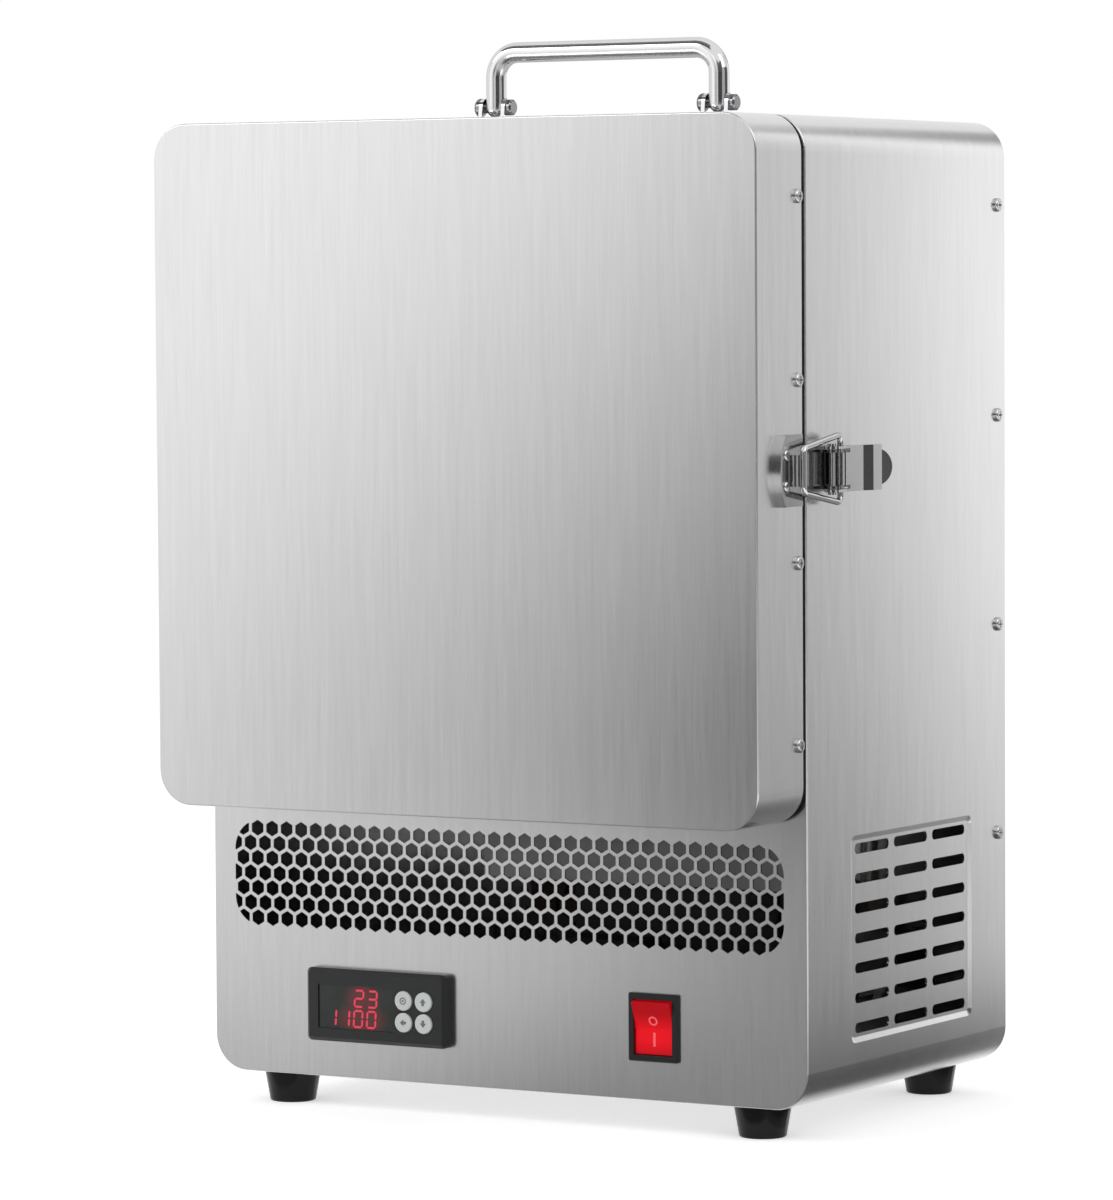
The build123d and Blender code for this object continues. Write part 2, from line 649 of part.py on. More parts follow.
def back_panel():
    """The rear sheet, set into the case and held by the screws up its edges."""
    plate = plate_y(case_outline(SHEET + SHEET_FIT), BACK_INSIDE, BACK_Y)
    ring = case_outline(SHEET + SHEET_FIT) - case_outline(2 * SHEET + SHEET_FIT)
    plate += plate_y(ring, BACK_Y - BACK_FLANGE_D, BACK_INSIDE)
    fit = 2 * BLOCK_FIT
    inlet = window(INLET_BODY_W + fit, INLET_BODY_H + fit, INLET_X, BASE_Z + INLET_Z)
    small = [Pos(x, z) * Circle(FAN_SCREW_R + HOLE_FIT) for x, z in fan_screw_places()]
    small += [Pos(INLET_X, z) * Circle(INLET_SCREW_R + HOLE_FIT) for z in inlet_screw_heights()]
    small += [Pos(EARTH_X, BASE_Z + EARTH_Z) * Circle(EARTH_R + HOLE_FIT)]
    holes = Sketch() + [inlet] + small + exhaust_holes()
    plate -= plate_y(holes, BACK_INSIDE - CUT, BACK_Y + CUT)
    return plate - screw_holes(case_screw_places(), SHANK_R + HOLE_FIT, SHANK_L)


def case_screws():
    screw = pan_screw(HEAD_R, HEAD_H, SHANK_R, SHANK_L)
    return [aim(screw, at, out) for at, out in case_screw_places()]


def bay_divider():
    """The shelf between the bay and the hot box, with its flanges and the bay's baffle."""
    half = SIDE_X - 2 * SHEET - 2 * SHEET_FIT
    flange_top = DIVIDER_Z + SHEET + DIVIDER_FLANGE_H
    shelf = block(-half, half, CHAMBER_FRONT, BACK_INSIDE, DIVIDER_Z, DIVIDER_Z + SHEET)
    shelf += block(-half, half, CHAMBER_FRONT, CHAMBER_FRONT + SHEET, DIVIDER_Z, flange_top)
    shelf += block(-half, half, BACK_INSIDE - SHEET, BACK_INSIDE, DIVIDER_Z, flange_top)
    baffle_y = FRONT_Y + BAFFLE_BACK
    shelf += block(-BAFFLE_LEFT, SIDE_X - BAFFLE_MARGIN, baffle_y, baffle_y + SHEET,
                   DIVIDER_Z - BAFFLE_H, DIVIDER_Z)
    for x in lead_places() + [PROBE_X]:
        shelf -= rod_z(x, TERMINAL_Y, DIVIDER_Z - CUT, DIVIDER_Z + SHEET + CUT, LEAD_R + LEAD_GAP)
    return shelf


def box_stands():
    """Two channels, open side down, that carry the inner box on the divider."""
    z0 = DIVIDER_Z + SHEET
    end = STAND_L / 2
    stands = []
    for side in (-1, 1):
        x0 = side * STAND_X - STAND_W / 2
        x1 = x0 + STAND_W
        channel = block(x0, x1, -end, end, z0, INNER_Z)
        hollow = block(x0 + SHEET, x1 - SHEET, -end - CUT, end + CUT, z0 - CUT, INNER_Z - SHEET)
        stands.append(channel - hollow)
    return stands


# ---------------------------------------------------------------- hot box

def inner_box():
    """The steel box round the insulation, open at the front."""
    box = plate_y(window(INNER_W, INNER_H, 0, CORE_Z), CHAMBER_FRONT, INNER_BACK + SHEET)
    rim_w = INNER_W + 2 * INNER_RIM
    rim_h = INNER_H + 2 * INNER_RIM
    rim = round_rect(rim_w, rim_h, INNER_RIM + RIM_CORNER, 0, CORE_Z)
    low = DIVIDER_Z + SHEET + DIVIDER_FLANGE_H + SHEET
    rim &= window(BODY_W, BODY_H, 0, low + BODY_H / 2)
    box += plate_y(rim, CHAMBER_FRONT, CHAMBER_FRONT + SHEET)
    inside = window(INNER_W - 2 * SHEET, INNER_H - 2 * SHEET, 0, CORE_Z)
    box -= plate_y(inside, CHAMBER_FRONT - CUT, INNER_BACK)
    return box - back_holes(INNER_BACK, INNER_BACK + SHEET, BUSHING_R + BLOCK_FIT)


def back_holes(y0, y1, r):
    """Holes through a wall at the back: one of a given radius for each tail, one for the probe."""
    holes = [rod_y(x, y0 - CUT, y1 + CUT, z, r) for x, z in tail_places()]
    return holes + [rod_y(PROBE_X, y0 - CUT, y1 + CUT, PROBE_Z, PROBE_R + BLOCK_FIT)]


def insulation_blanket():
    """Blanket between the boards and the inner box."""
    outline = window(CORE_W + 2 * BLANKET_T, CORE_H + 2 * BLANKET_T, 0, CORE_Z)
    blanket = plate_y(outline, CHAMBER_FRONT, INNER_BACK)
    blanket -= plate_y(window(CORE_W, CORE_H, 0, CORE_Z), CHAMBER_FRONT - CUT, BOARD_BACK)
    return blanket - back_holes(BOARD_BACK, INNER_BACK, BUSHING_R + BLOCK_FIT)


def element_row_span():
    """Front and back ends of the straight rows, between the bends."""
    bend = ELEMENT_PITCH / 2
    return CHAMBER_FRONT + ELEMENT_FRONT + bend, CHAMBER_BACK - ELEMENT_BACK - bend


def element_path(side):
    """The element's centre line: rows joined by half-round bends, with two tails to the back."""
    front, back = element_row_span()
    tail_end = TERMINAL_BACK - TAIL_SHORT
    bend = ELEMENT_PITCH / 2
    x = side * ELEMENT_X
    edges = []
    for row in range(ELEMENT_ROWS):
        z = ELEMENT_LOW_Z + row * ELEMENT_PITCH
        near_tail = row in (0, ELEMENT_ROWS - 1)
        end = tail_end if near_tail else back
        edges.append(Line((x, front, z), (x, end, z)))
        if row == ELEMENT_ROWS - 1:
            continue
        turn_y = front if row % 2 == 0 else back
        tip_y = turn_y - bend if row % 2 == 0 else turn_y + bend
        edges.append(ThreePointArc((x, turn_y, z), (x, tip_y, z + bend), (x, turn_y, z + 2 * bend)))
    return Wire(edges)


def heating_element(side):
    wire = element_path(side)
    return sweep(Plane(origin=wire @ 0, z_dir=wire % 0) * Circle(ELEMENT_R), path=wire)


def side_board(side):
    """A side board, with a groove that follows the element."""
    x0 = CHAMBER_W / 2
    outline = window(BOARD_T, CORE_H, x0 + BOARD_T / 2, CORE_Z)
    board = plate_y(outline, CHAMBER_FRONT, CHAMBER_BACK)
    front, back = element_row_span()
    bend = ELEMENT_PITCH / 2
    half = ELEMENT_R + GROOVE_GAP
    shapes = []
    for row in range(ELEMENT_ROWS):
        z = ELEMENT_LOW_Z + row * ELEMENT_PITCH
        end = CHAMBER_BACK + CUT if row in (0, ELEMENT_ROWS - 1) else back
        shapes.append(Pos((front + end) / 2, z) * Rectangle(end - front, 2 * half))
        if row == ELEMENT_ROWS - 1:
            continue
        at_front = row % 2 == 0
        turn_y = front if at_front else back
        ring = Pos(turn_y, z + bend) * (Circle(bend + half) - Circle(bend - half))
        keep_y = turn_y - ELEMENT_PITCH if at_front else turn_y + ELEMENT_PITCH
        shapes.append(ring & window(2 * ELEMENT_PITCH, 2 * ELEMENT_PITCH, keep_y, z + bend))
    groove = plate_x(Sketch() + shapes, x0 - CUT, x0 + ELEMENT_SINK + half)
    board -= groove
    return mirror(board, about=Plane.YZ) if side < 0 else board


def flat_board(side):
    """The roof board, or the floor board for a side of -1."""
    z0 = CORE_Z + CHAMBER_H / 2
    board = block(-CHAMBER_W / 2, CHAMBER_W / 2, CHAMBER_FRONT, CHAMBER_BACK, z0, z0 + BOARD_T)
    if side > 0:
        return board
    return Pos(0, 0, -CHAMBER_H - BOARD_T) * board


def back_board():
    board = plate_y(window(CORE_W, CORE_H, 0, CORE_Z), CHAMBER_BACK, BOARD_BACK)
    return board - back_holes(CHAMBER_BACK, BOARD_BACK, ELEMENT_R + GROOVE_GAP)


def tail_places():
    """Where the element tails pass through the back."""
    return [(side * ELEMENT_X, z) for side in (-1, 1) for z in TAIL_Z]


def lead_places():
    """X of the leads that run down from the four terminals."""
    offset = TERMINAL_TAB - LEAD_R
    return [side * ELEMENT_X + turn * offset for side in (-1, 1) for turn in (-1, 1)]


def bushings():
    """Ceramic tubes round the element tails."""
    tubes = []
    for x, z in tail_places():
        tube = rod_y(x, BOARD_BACK, INNER_BACK + SHEET + BUSHING_PROUD, z, BUSHING_R)
        tubes.append(tube - rod_y(x, BOARD_BACK - CUT, BACK_Y, z, ELEMENT_R + BLOCK_FIT))
    return tubes


def terminals():
    """Brass barrels on the tails, each with a tab for its lead."""
    y0 = TERMINAL_BACK - TERMINAL_L
    pieces = []
    for side in (-1, 1):
        for turn, z in zip((1, -1), TAIL_Z):
            x = side * ELEMENT_X
            barrel = rod_y(x, y0, TERMINAL_BACK, z, TERMINAL_R)
            outline = window(TERMINAL_TAB, TERMINAL_TAB_H, x + turn * TERMINAL_TAB / 2, z)
            tab = plate_y(outline, y0, TERMINAL_BACK)
            bore = rod_y(x, y0 - CUT, TERMINAL_BACK - TERMINAL_END, z, ELEMENT_R + BLOCK_FIT / 2)
            pieces.append(barrel + tab - bore)
    return pieces


def bay_leads():
    """Leads from the thermocouple and the terminals down to the blocks in the bay."""
    low = BASE_Z + BLOCK_Z + BLOCK_H / 2
    leads = [rod_z(PROBE_X, TERMINAL_Y, low, PROBE_Z - PROBE_HEAD_R, LEAD_R)]
    for side in (-1, 1):
        for turn, z in zip((1, -1), TAIL_Z):
            x = side * ELEMENT_X + turn * (TERMINAL_TAB - LEAD_R)
            leads.append(rod_z(x, TERMINAL_Y, low, z - TERMINAL_TAB_H / 2, LEAD_R))
    return leads


def thermocouple():
    """The sheathed probe, with its head in the rear air gap."""
    z = PROBE_Z
    head_back = INNER_BACK + SHEET + PROBE_HEAD_T
    probe = rod_y(PROBE_X, CHAMBER_BACK - PROBE_REACH, head_back, z, PROBE_R)
    return probe + rod_y(PROBE_X, INNER_BACK + SHEET, head_back, z, PROBE_HEAD_R)


def hearth_plate():
    y = (CHAMBER_FRONT + PLUG_STEP_D + CHAMBER_BACK) / 2
    z = CORE_Z - CHAMBER_H / 2
    outline = Pos(0, y) * RectangleRounded(HEARTH_W, HEARTH_D, HEARTH_R)
    return plate_z(outline, z, z + HEARTH_T)


# ---------------------------------------------------------------- door

def door_screw_places():
    y = DOOR_BACK - DOOR_SCREW_INSET
    return [((side * SIDE_X, y, z), (side, 0, 0)) for side in (-1, 1) for z in DOOR_SCREW_Z]


def door_shell():
    """The door's folded front skin."""
    shell = plate_y(door_outline(0), DOOR_FRONT, DOOR_BACK)
    shell = fillet(shell.edges().group_by(Axis.Y)[0], PANEL_EDGE_R)
    shell -= plate_y(door_outline(SHEET), DOOR_FRONT + SHEET, DOOR_BACK + CUT)
    shell -= screw_holes(door_screw_places(), SHANK_R + HOLE_FIT, SHEET)
    shell -= screw_holes(hinge_screw_places(-1, -SIDE_X), HINGE_SCREW_R + HOLE_FIT, SHEET)
    return shell - screw_holes(keeper_rivet_places(SIDE_X), LATCH_RIVET_R + HOLE_FIT, SHEET)


def plug_size(gap):
    """Width and height of the plug's pad, in the front panel's cut-out."""
    return MOUTH_W - 2 * gap, MOUTH_H - 2 * gap


def door_back_plate():
    """The pan that closes the door's back round the plug."""
    w, h = plug_size(PLUG_PAD_GAP)
    pan = plate_y(door_outline(SHEET + SHEET_FIT), DOOR_BACK - SHEET, DOOR_BACK)
    ring = door_outline(SHEET + SHEET_FIT) - door_outline(2 * SHEET + SHEET_FIT)
    pan += plate_y(ring, DOOR_BACK - DOOR_FLANGE_D, DOOR_BACK - SHEET)
    mouth = window(w + 2 * BLOCK_FIT, h + 2 * BLOCK_FIT, 0, CORE_Z)
    pan -= plate_y(mouth, DOOR_BACK - SHEET - CUT, DOOR_BACK + CUT)
    pan -= screw_holes(door_screw_places(), SHANK_R + HOLE_FIT, SHANK_L)
    places = hinge_screw_places(-1, -SIDE_X)
    return pan - screw_holes(places, HINGE_SCREW_R + HOLE_FIT, HINGE_SCREW_L)


def door_plug():
    """The door's ceramic board: held behind the pan, padded to the mouth, stepped into it."""
    w, h = plug_size(PLUG_PAD_GAP)
    step_w = CHAMBER_W - 2 * PLUG_STEP_GAP
    step_h = CHAMBER_H - 2 * PLUG_STEP_GAP
    held_back = DOOR_BACK - SHEET
    pad_back = CHAMBER_FRONT - MOVING_GAP
    held = window(w + 2 * PLUG_FLANGE, h + 2 * PLUG_FLANGE, 0, CORE_Z)
    pad = window(w, h, 0, CORE_Z)
    step = window(step_w, step_h, 0, CORE_Z)
    plug = plate_y(held, held_back - PLUG_FLANGE_T, held_back)
    plug += plate_y(pad, held_back, pad_back)
    return plug + plate_y(step, pad_back, pad_back + PLUG_STEP_D)


def door_insulation():
    """Blanket that fills the door round and in front of the plug."""
    w, h = plug_size(PLUG_PAD_GAP)
    outline = door_outline(2 * SHEET + 2 * SHEET_FIT)
    fill = plate_y(outline, DOOR_FRONT + SHEET, DOOR_BACK - SHEET)
    held = window(w + 2 * PLUG_FLANGE, h + 2 * PLUG_FLANGE, 0, CORE_Z)
    fill -= plate_y(held, DOOR_BACK - SHEET - PLUG_FLANGE_T, DOOR_BACK)
    fill -= screw_holes(door_screw_places(), SHANK_R + HOLE_FIT, SHANK_L)
    fill -= screw_holes(keeper_rivet_places(SIDE_X), LATCH_RIVET_R + HOLE_FIT, LATCH_RIVET_L)
    places = hinge_screw_places(-1, -SIDE_X)
    return fill - screw_holes(places, HINGE_SCREW_R + HOLE_FIT, HINGE_SCREW_L)


def door_gasket():
    """The black seal round the door's back."""
    ring = door_outline(GASKET_INSET) - door_outline(GASKET_INSET + GASKET_W)
    return plate_y(ring, DOOR_BACK, FRONT_Y - MOVING_GAP)


def door_screws():
    screw = pan_screw(HEAD_R, HEAD_H, SHANK_R, SHANK_L)
    return [aim(screw, at, out) for at, out in door_screw_places()]


# ---------------------------------------------------------------- hinges

def hinge_heights():
    return [CORE_Z - HINGE_SPACING / 2, CORE_Z + HINGE_SPACING / 2]


def hinge_screw_places(way, x):
    """Screws in the leaves: way is 1 for those on the case and -1 for those on the door."""
    middle = HINGE_Y + way * (HINGE_KNUCKLE_R + HINGE_SCREW_OUT)
    places = []
    for z in hinge_heights():
        for turn in (-1, 0, 1):
            places.append(((x, middle, z + turn * HINGE_SCREW_PITCH), (-1, 0, 0)))
    return places


def hinge_leaf(z, way):
    """A leaf: the case's has two outer knuckles, the door's one between them."""
    half = HINGE_L / 2
    split = HINGE_L / 6
    gap = MOVING_GAP / 2
    if way > 0:
        spans = [(z - half, z - split - gap), (z + split + gap, z + half)]
        cut_spans = [(z - split - gap, z + split + gap)]
    else:
        spans = [(z - split + gap, z + split - gap)]
        cut_spans = [(z - half - CUT, z - split + gap), (z + split - gap, z + half + CUT)]
    outer = -SIDE_X - HINGE_LEAF_T
    length = HINGE_KNUCKLE_R + HINGE_LEAF_W
    leaf = block(outer, -SIDE_X, 0, length, z - half, z + half)
    for z0, z1 in cut_spans:
        clear = HINGE_KNUCKLE_R + 2 * MOVING_GAP
        leaf -= block(outer - CUT, -SIDE_X + CUT, -CUT, clear, z0, z1)
    if way < 0:
        leaf = mirror(leaf, about=Plane.XZ)
    leaf = Pos(0, HINGE_Y, 0) * leaf
    for z0, z1 in spans:
        leaf += rod_z(HINGE_X, HINGE_Y, z0, z1, HINGE_KNUCKLE_R)
    leaf -= rod_z(HINGE_X, HINGE_Y, z - HINGE_L, z + HINGE_L, HINGE_PIN_R + RUNNING_FIT)
    return leaf - screw_holes(hinge_screw_places(way, outer), HINGE_SCREW_R + HOLE_FIT, HINGE_LEAF_T)


def hinge_pins():
    """Pins with a low head above the top knuckle."""
    head_r = (HINGE_PIN_R + HINGE_KNUCKLE_R) / 2
    pins = []
    for z in hinge_heights():
        top = z + HINGE_L / 2
        pin = rod_z(HINGE_X, HINGE_Y, z - HINGE_L / 2, top, HINGE_PIN_R)
        head = rod_z(HINGE_X, HINGE_Y, top, top + HINGE_PIN_HEAD_T, head_r)
        pins.append(pin + fillet(head.edges().group_by(Axis.Z)[-1], HINGE_PIN_HEAD_T / 2))
    return pins


def hinge_screws(way):
    screw = pan_screw(HINGE_SCREW_HEAD_R, HINGE_SCREW_HEAD_H, HINGE_SCREW_R, HINGE_SCREW_L)
    return [aim(screw, at, out) for at, out in hinge_screw_places(way, -SIDE_X - HINGE_LEAF_T)]


# ---------------------------------------------------------------- latch

def keeper_rivet_places(x):
    y = FRONT_Y - KEEPER_RIVET_Y
    return [((x, y, LATCH_Z + turn * KEEPER_RIVET_PITCH / 2), (1, 0, 0)) for turn in (-1, 1)]


def base_rivet_places(x):
    return [((x, FRONT_Y + y, LATCH_Z), (1, 0, 0)) for y in BASE_RIVETS_Y]


def keeper_outline():
    """The keeper's plate in Y and Z, with its front edge bowed."""
    front = FRONT_Y - KEEPER_FRONT
    back = FRONT_Y - KEEPER_BACK
    low = LATCH_Z - KEEPER_H / 2
    high = LATCH_Z + KEEPER_H / 2
    bow = ThreePointArc((front + KEEPER_ARC, high), (front, LATCH_Z), (front + KEEPER_ARC, low))
    sides = Polyline((front + KEEPER_ARC, low), (back, low), (back, high), (front + KEEPER_ARC, high))
    return make_face(Wire([bow] + sides.edges()))


def latch_keeper():
    """The plate on the door that the bail pulls on: a bowed rim, two rivets and a ridge."""
    x0 = SIDE_X
    outline = keeper_outline()
    plate = plate_x(outline, x0, x0 + KEEPER_T)
    rim = outline - Pos(KEEPER_RIM_T, 0) * outline
    bow_w = 2 * (KEEPER_ARC + KEEPER_RIM_T)
    front_only = Pos(FRONT_Y - KEEPER_FRONT, LATCH_Z) * Rectangle(bow_w, KEEPER_H)
    plate += plate_x(rim & front_only, x0, x0 + KEEPER_RIM_H)
    crown = LATCH_BAIL_OUT - BAIL_R - MOVING_GAP
    y = FRONT_Y - BAIL_REACH
    ridge = Pos(x0 + KEEPER_T, y) * Ellipse(crown - KEEPER_T, KEEPER_RIDGE_W / 2)
    ridge &= Pos(x0 + KEEPER_T / 2 + crown, y) * Rectangle(2 * crown, 2 * KEEPER_RIDGE_W)
    half = BAIL_NARROW - BAIL_BEND_R
    plate += plate_z(ridge, LATCH_Z - half, LATCH_Z + half)
    places = keeper_rivet_places(x0 + KEEPER_T)
    return plate - screw_holes(places, LATCH_RIVET_R + HOLE_FIT, KEEPER_T)


def latch_bore(x, y, r):
    """A bore right through the latch for a pin of that radius."""
    return rod_z(x, y, LATCH_Z - KEEPER_H, LATCH_Z + KEEPER_H, r + RUNNING_FIT)


def latch_base():
    """The latch's foot on the case side, with two ears for the lever's pin."""
    x0 = SIDE_X
    y0 = FRONT_Y + LATCH_BASE_START
    pivot_x = x0 + LATCH_PIVOT_OUT
    pivot_y = FRONT_Y + LATCH_PIVOT_Y
    foot_outline = Pos(y0 + LATCH_BASE_L / 2, LATCH_Z) * Rectangle(LATCH_BASE_L, 2 * LATCH_EAR_HALF)
    base = plate_x(foot_outline, x0, x0 + LATCH_PLATE_T)
    for side in (-1, 1):
        outer = LATCH_Z + side * LATCH_EAR_HALF
        inner = outer - side * LATCH_EAR_T
        z0, z1 = min(outer, inner), max(outer, inner)
        ear = rod_z(pivot_x, pivot_y, z0, z1, LATCH_EAR_R)
        ear += block(x0, pivot_x, pivot_y - LATCH_EAR_R, pivot_y + LATCH_EAR_R, z0, z1)
        base += ear
    base -= latch_bore(pivot_x, pivot_y, LATCH_PIN_R)
    places = base_rivet_places(x0 + LATCH_PLATE_T)
    return base - screw_holes(places, LATCH_RIVET_R + HOLE_FIT, LATCH_PLATE_T)


def latch_pin():
    """The pin through ears and lever, headed at both ends."""
    x = SIDE_X + LATCH_PIVOT_OUT
    y = FRONT_Y + LATCH_PIVOT_Y
    half = LEVER_HALF + SHEET_FIT
    pin = rod_z(x, y, LATCH_Z - half, LATCH_Z + half, LATCH_PIN_R)
    for side in (-1, 1):
        z0 = LATCH_Z + side * half
        z1 = z0 + side * LATCH_PIN_HEAD_T
        pin += rod_z(x, y, min(z0, z1), max(z0, z1), LATCH_PIN_HEAD_R)
    return pin


def lever_strip():
    """The lever's plate seen from above: flat, a step up to a ridge, a raised finger tab."""
    top = SIDE_X + LATCH_BAIL_OUT + LEVER_KNUCKLE_R
    ridge = top + LEVER_STEP_RISE
    step_y = FRONT_Y + LEVER_STEP_Y
    tab_y = FRONT_Y + LEVER_END
    outer = [
        (top, FRONT_Y + LATCH_BAIL_Y),
        (top, step_y),
        (ridge, step_y + LEVER_STEP_L),
        (ridge, tab_y),
        (ridge + LEVER_TAB_RISE, tab_y + LEVER_TAB_L),
    ]
    inner = [(x - LATCH_PLATE_T, y) for x, y in reversed(outer)]
    return make_face(Polyline(outer + inner, close=True))


def lever_outline():
    """The lever's plate seen from the side: straight, with a narrower round tab."""
    start_y = FRONT_Y + LATCH_BAIL_Y - LEVER_LAP
    tab_y = FRONT_Y + LEVER_END
    end_y = tab_y + LEVER_TAB_L
    straight = Pos((start_y + tab_y) / 2, LATCH_Z) * Rectangle(tab_y - start_y, 2 * LEVER_HALF)
    return straight + Pos(end_y - LEVER_TAB_HALF, LATCH_Z) * Circle(LEVER_TAB_HALF)


def lever_skirt():
    """One of the lever's sides, in X and Y, from the plate to round the pin."""
    pivot_x = SIDE_X + LATCH_PIVOT_OUT
    pivot_y = FRONT_Y + LATCH_PIVOT_Y
    bail_x = SIDE_X + LATCH_BAIL_OUT
    bail_y = FRONT_Y + LATCH_BAIL_Y
    plate_top = bail_x + LEVER_KNUCKLE_R
    plate_low = plate_top - LATCH_PLATE_T
    under = bail_x - LEVER_KNUCKLE_R
    points = [
        (plate_low, bail_y),
        (plate_low, FRONT_Y + LEVER_SKIRT_END),
        (under, bail_y + LEVER_KNUCKLE_R),
        (under, bail_y),
        (pivot_x - LATCH_EAR_R, pivot_y),
        (pivot_x + LATCH_EAR_R, pivot_y),
        (plate_top, bail_y),
    ]
    return make_face(Polyline(points, close=True)) + Pos(pivot_x, pivot_y) * Circle(LATCH_EAR_R)


def latch_lever():
    """The over-centre lever: plate, two skirts and the knuckle that holds the bail."""
    pivot_x = SIDE_X + LATCH_PIVOT_OUT
    pivot_y = FRONT_Y + LATCH_PIVOT_Y
    bail_x = SIDE_X + LATCH_BAIL_OUT
    bail_y = FRONT_Y + LATCH_BAIL_Y
    plate_top = bail_x + LEVER_KNUCKLE_R
    lever = plate_z(lever_strip(), LATCH_Z - LEVER_HALF, LATCH_Z + LEVER_HALF)
    rise = LEVER_STEP_RISE + LEVER_TAB_RISE
    lever &= plate_x(lever_outline(), SIDE_X, plate_top + rise + CUT)
    for side in (-1, 1):
        outer = LATCH_Z + side * LEVER_HALF
        inner = outer - side * LEVER_SKIRT_T
        lever += plate_z(lever_skirt(), min(outer, inner), max(outer, inner))
        knuckle_end = LATCH_Z + side * LEVER_KNUCKLE_HALF
        notch = Pos(bail_y, (knuckle_end + inner) / 2)
        notch *= Rectangle(2 * LEVER_KNUCKLE_R, abs(inner - knuckle_end))
        lever -= plate_x(notch, plate_top - LATCH_PLATE_T - CUT, plate_top + CUT)
    low = LATCH_Z - LEVER_KNUCKLE_HALF
    lever += rod_z(bail_x, bail_y, low, low + 2 * LEVER_KNUCKLE_HALF, LEVER_KNUCKLE_R)
    lever -= latch_bore(bail_x, bail_y, BAIL_R)
    return lever - latch_bore(pivot_x, pivot_y, LATCH_PIN_R)


def latch_bail():
    """The wire loop that hooks over the keeper, its ends turned into the lever's knuckle."""
    x = SIDE_X + LATCH_BAIL_OUT
    back = FRONT_Y + LATCH_BAIL_Y
    front = FRONT_Y - BAIL_REACH
    half = [(back, BAIL_END), (back, BAIL_WIDE), (front, BAIL_NARROW)]
    points = [(x, y, LATCH_Z + z) for y, z in half]
    points += [(x, y, LATCH_Z - z) for y, z in reversed(half)]
    wire = FilletPolyline(*points, radius=BAIL_BEND_R)
    return sweep(Plane(origin=wire @ 0, z_dir=wire % 0) * Circle(BAIL_R), path=wire)


def latch_rivets(places):
    rivet = dome_rivet(LATCH_RIVET_HEAD_R, LATCH_RIVET_HEAD_H, LATCH_RIVET_R, LATCH_RIVET_L)
    return [aim(rivet, at, out) for at, out in places]


# ---------------------------------------------------------------- handle

def bracket_screw_places(z):
    places = []
    for side in (-1, 1):
        for turn in (-1, 1):
            places.append(((side * HANDLE_SPAN / 2, turn * BRACKET_SCREW_Y, z), (0, 0, 1)))
    return places


def ear_faces():
    """Inner and outer faces of a bracket's ears, from the middle of its leg."""
    inner = HANDLE_R + MOVING_GAP
    return inner, inner + EAR_T


def handle_bracket(side):
    """A U bracket: a foot on the roof and two round-topped ears."""
    x = side * HANDLE_SPAN / 2
    pivot_z = TOP_Z + HANDLE_PIVOT_H
    inner, outer = ear_faces()
    bracket = plate_z(Pos(x, 0) * Rectangle(BRACKET_W, BRACKET_D), TOP_Z, TOP_Z + BRACKET_T)
    low = TOP_Z + BRACKET_T / 2
    sides = [(-EAR_D / 2, low), (EAR_D / 2, low), (EAR_R, pivot_z), (-EAR_R, pivot_z)]
    ear = make_face(Polyline(sides, close=True)) + Pos(0, pivot_z) * Circle(EAR_R)
    for x0 in (x - outer, x + inner):
        bracket += plate_x(ear, x0, x0 + EAR_T)
    bracket -= rod_x(x - BRACKET_W, x + BRACKET_W, 0, pivot_z, HANDLE_PIN_R + RUNNING_FIT)
    places = bracket_screw_places(TOP_Z + BRACKET_T)
    return bracket - screw_holes(places, BRACKET_SCREW_R + HOLE_FIT, BRACKET_T)


def handle_pin(side):
    """A pin across the bracket, with a round head on the left and a riveted collar on the right."""
    x = side * HANDLE_SPAN / 2
    z = TOP_Z + HANDLE_PIVOT_H
    outer = ear_faces()[1]
    left = x - outer
    right = x + outer
    pin = rod_x(left, right, 0, z, HANDLE_PIN_R)
    head = rod_x(left - HANDLE_HEAD_T, left, 0, z, HANDLE_HEAD_R)
    head = fillet(head.edges().group_by(Axis.X)[0], HANDLE_HEAD_T * HEAD_ROUND)
    collar = rod_x(right, right + HANDLE_NUT_T, 0, z, HANDLE_NUT_R)
    collar = chamfer(collar.edges().group_by(Axis.X)[-1], HANDLE_NUT_EDGE)
    return pin + head + collar


def handle_rod():
    """The bent bar, with a round end and a cross bore at the foot of each leg."""
    half = HANDLE_SPAN / 2
    pivot_z = TOP_Z + HANDLE_PIVOT_H
    bar_z = TOP_Z + HANDLE_TOP - HANDLE_R
    points = [(-half, 0, pivot_z), (-half, 0, bar_z), (half, 0, bar_z), (half, 0, pivot_z)]
    wire = FilletPolyline(*points, radius=HANDLE_BEND_R)
    bar = sweep(Plane(origin=wire @ 0, z_dir=wire % 0) * Circle(HANDLE_R), path=wire)
    for side in (-1, 1):
        x = side * half
        bar += Pos(x, 0, pivot_z) * Sphere(HANDLE_R)
        bar -= rod_x(x - BRACKET_W, x + BRACKET_W, 0, pivot_z, HANDLE_PIN_R + RUNNING_FIT)
    return bar


def bracket_screws():
    screw = pan_screw(BRACKET_SCREW_HEAD_R, BRACKET_SCREW_HEAD_H, BRACKET_SCREW_R, BRACKET_SCREW_L)
    return [aim(screw, at, out) for at, out in bracket_screw_places(TOP_Z + BRACKET_T)]


# ---------------------------------------------------------------- feet

def foot_places():
    return [((x, y, BASE_Z), (0, 0, -1)) for x in (-FOOT_X, FOOT_X) for y in (-FOOT_Y, FOOT_Y)]


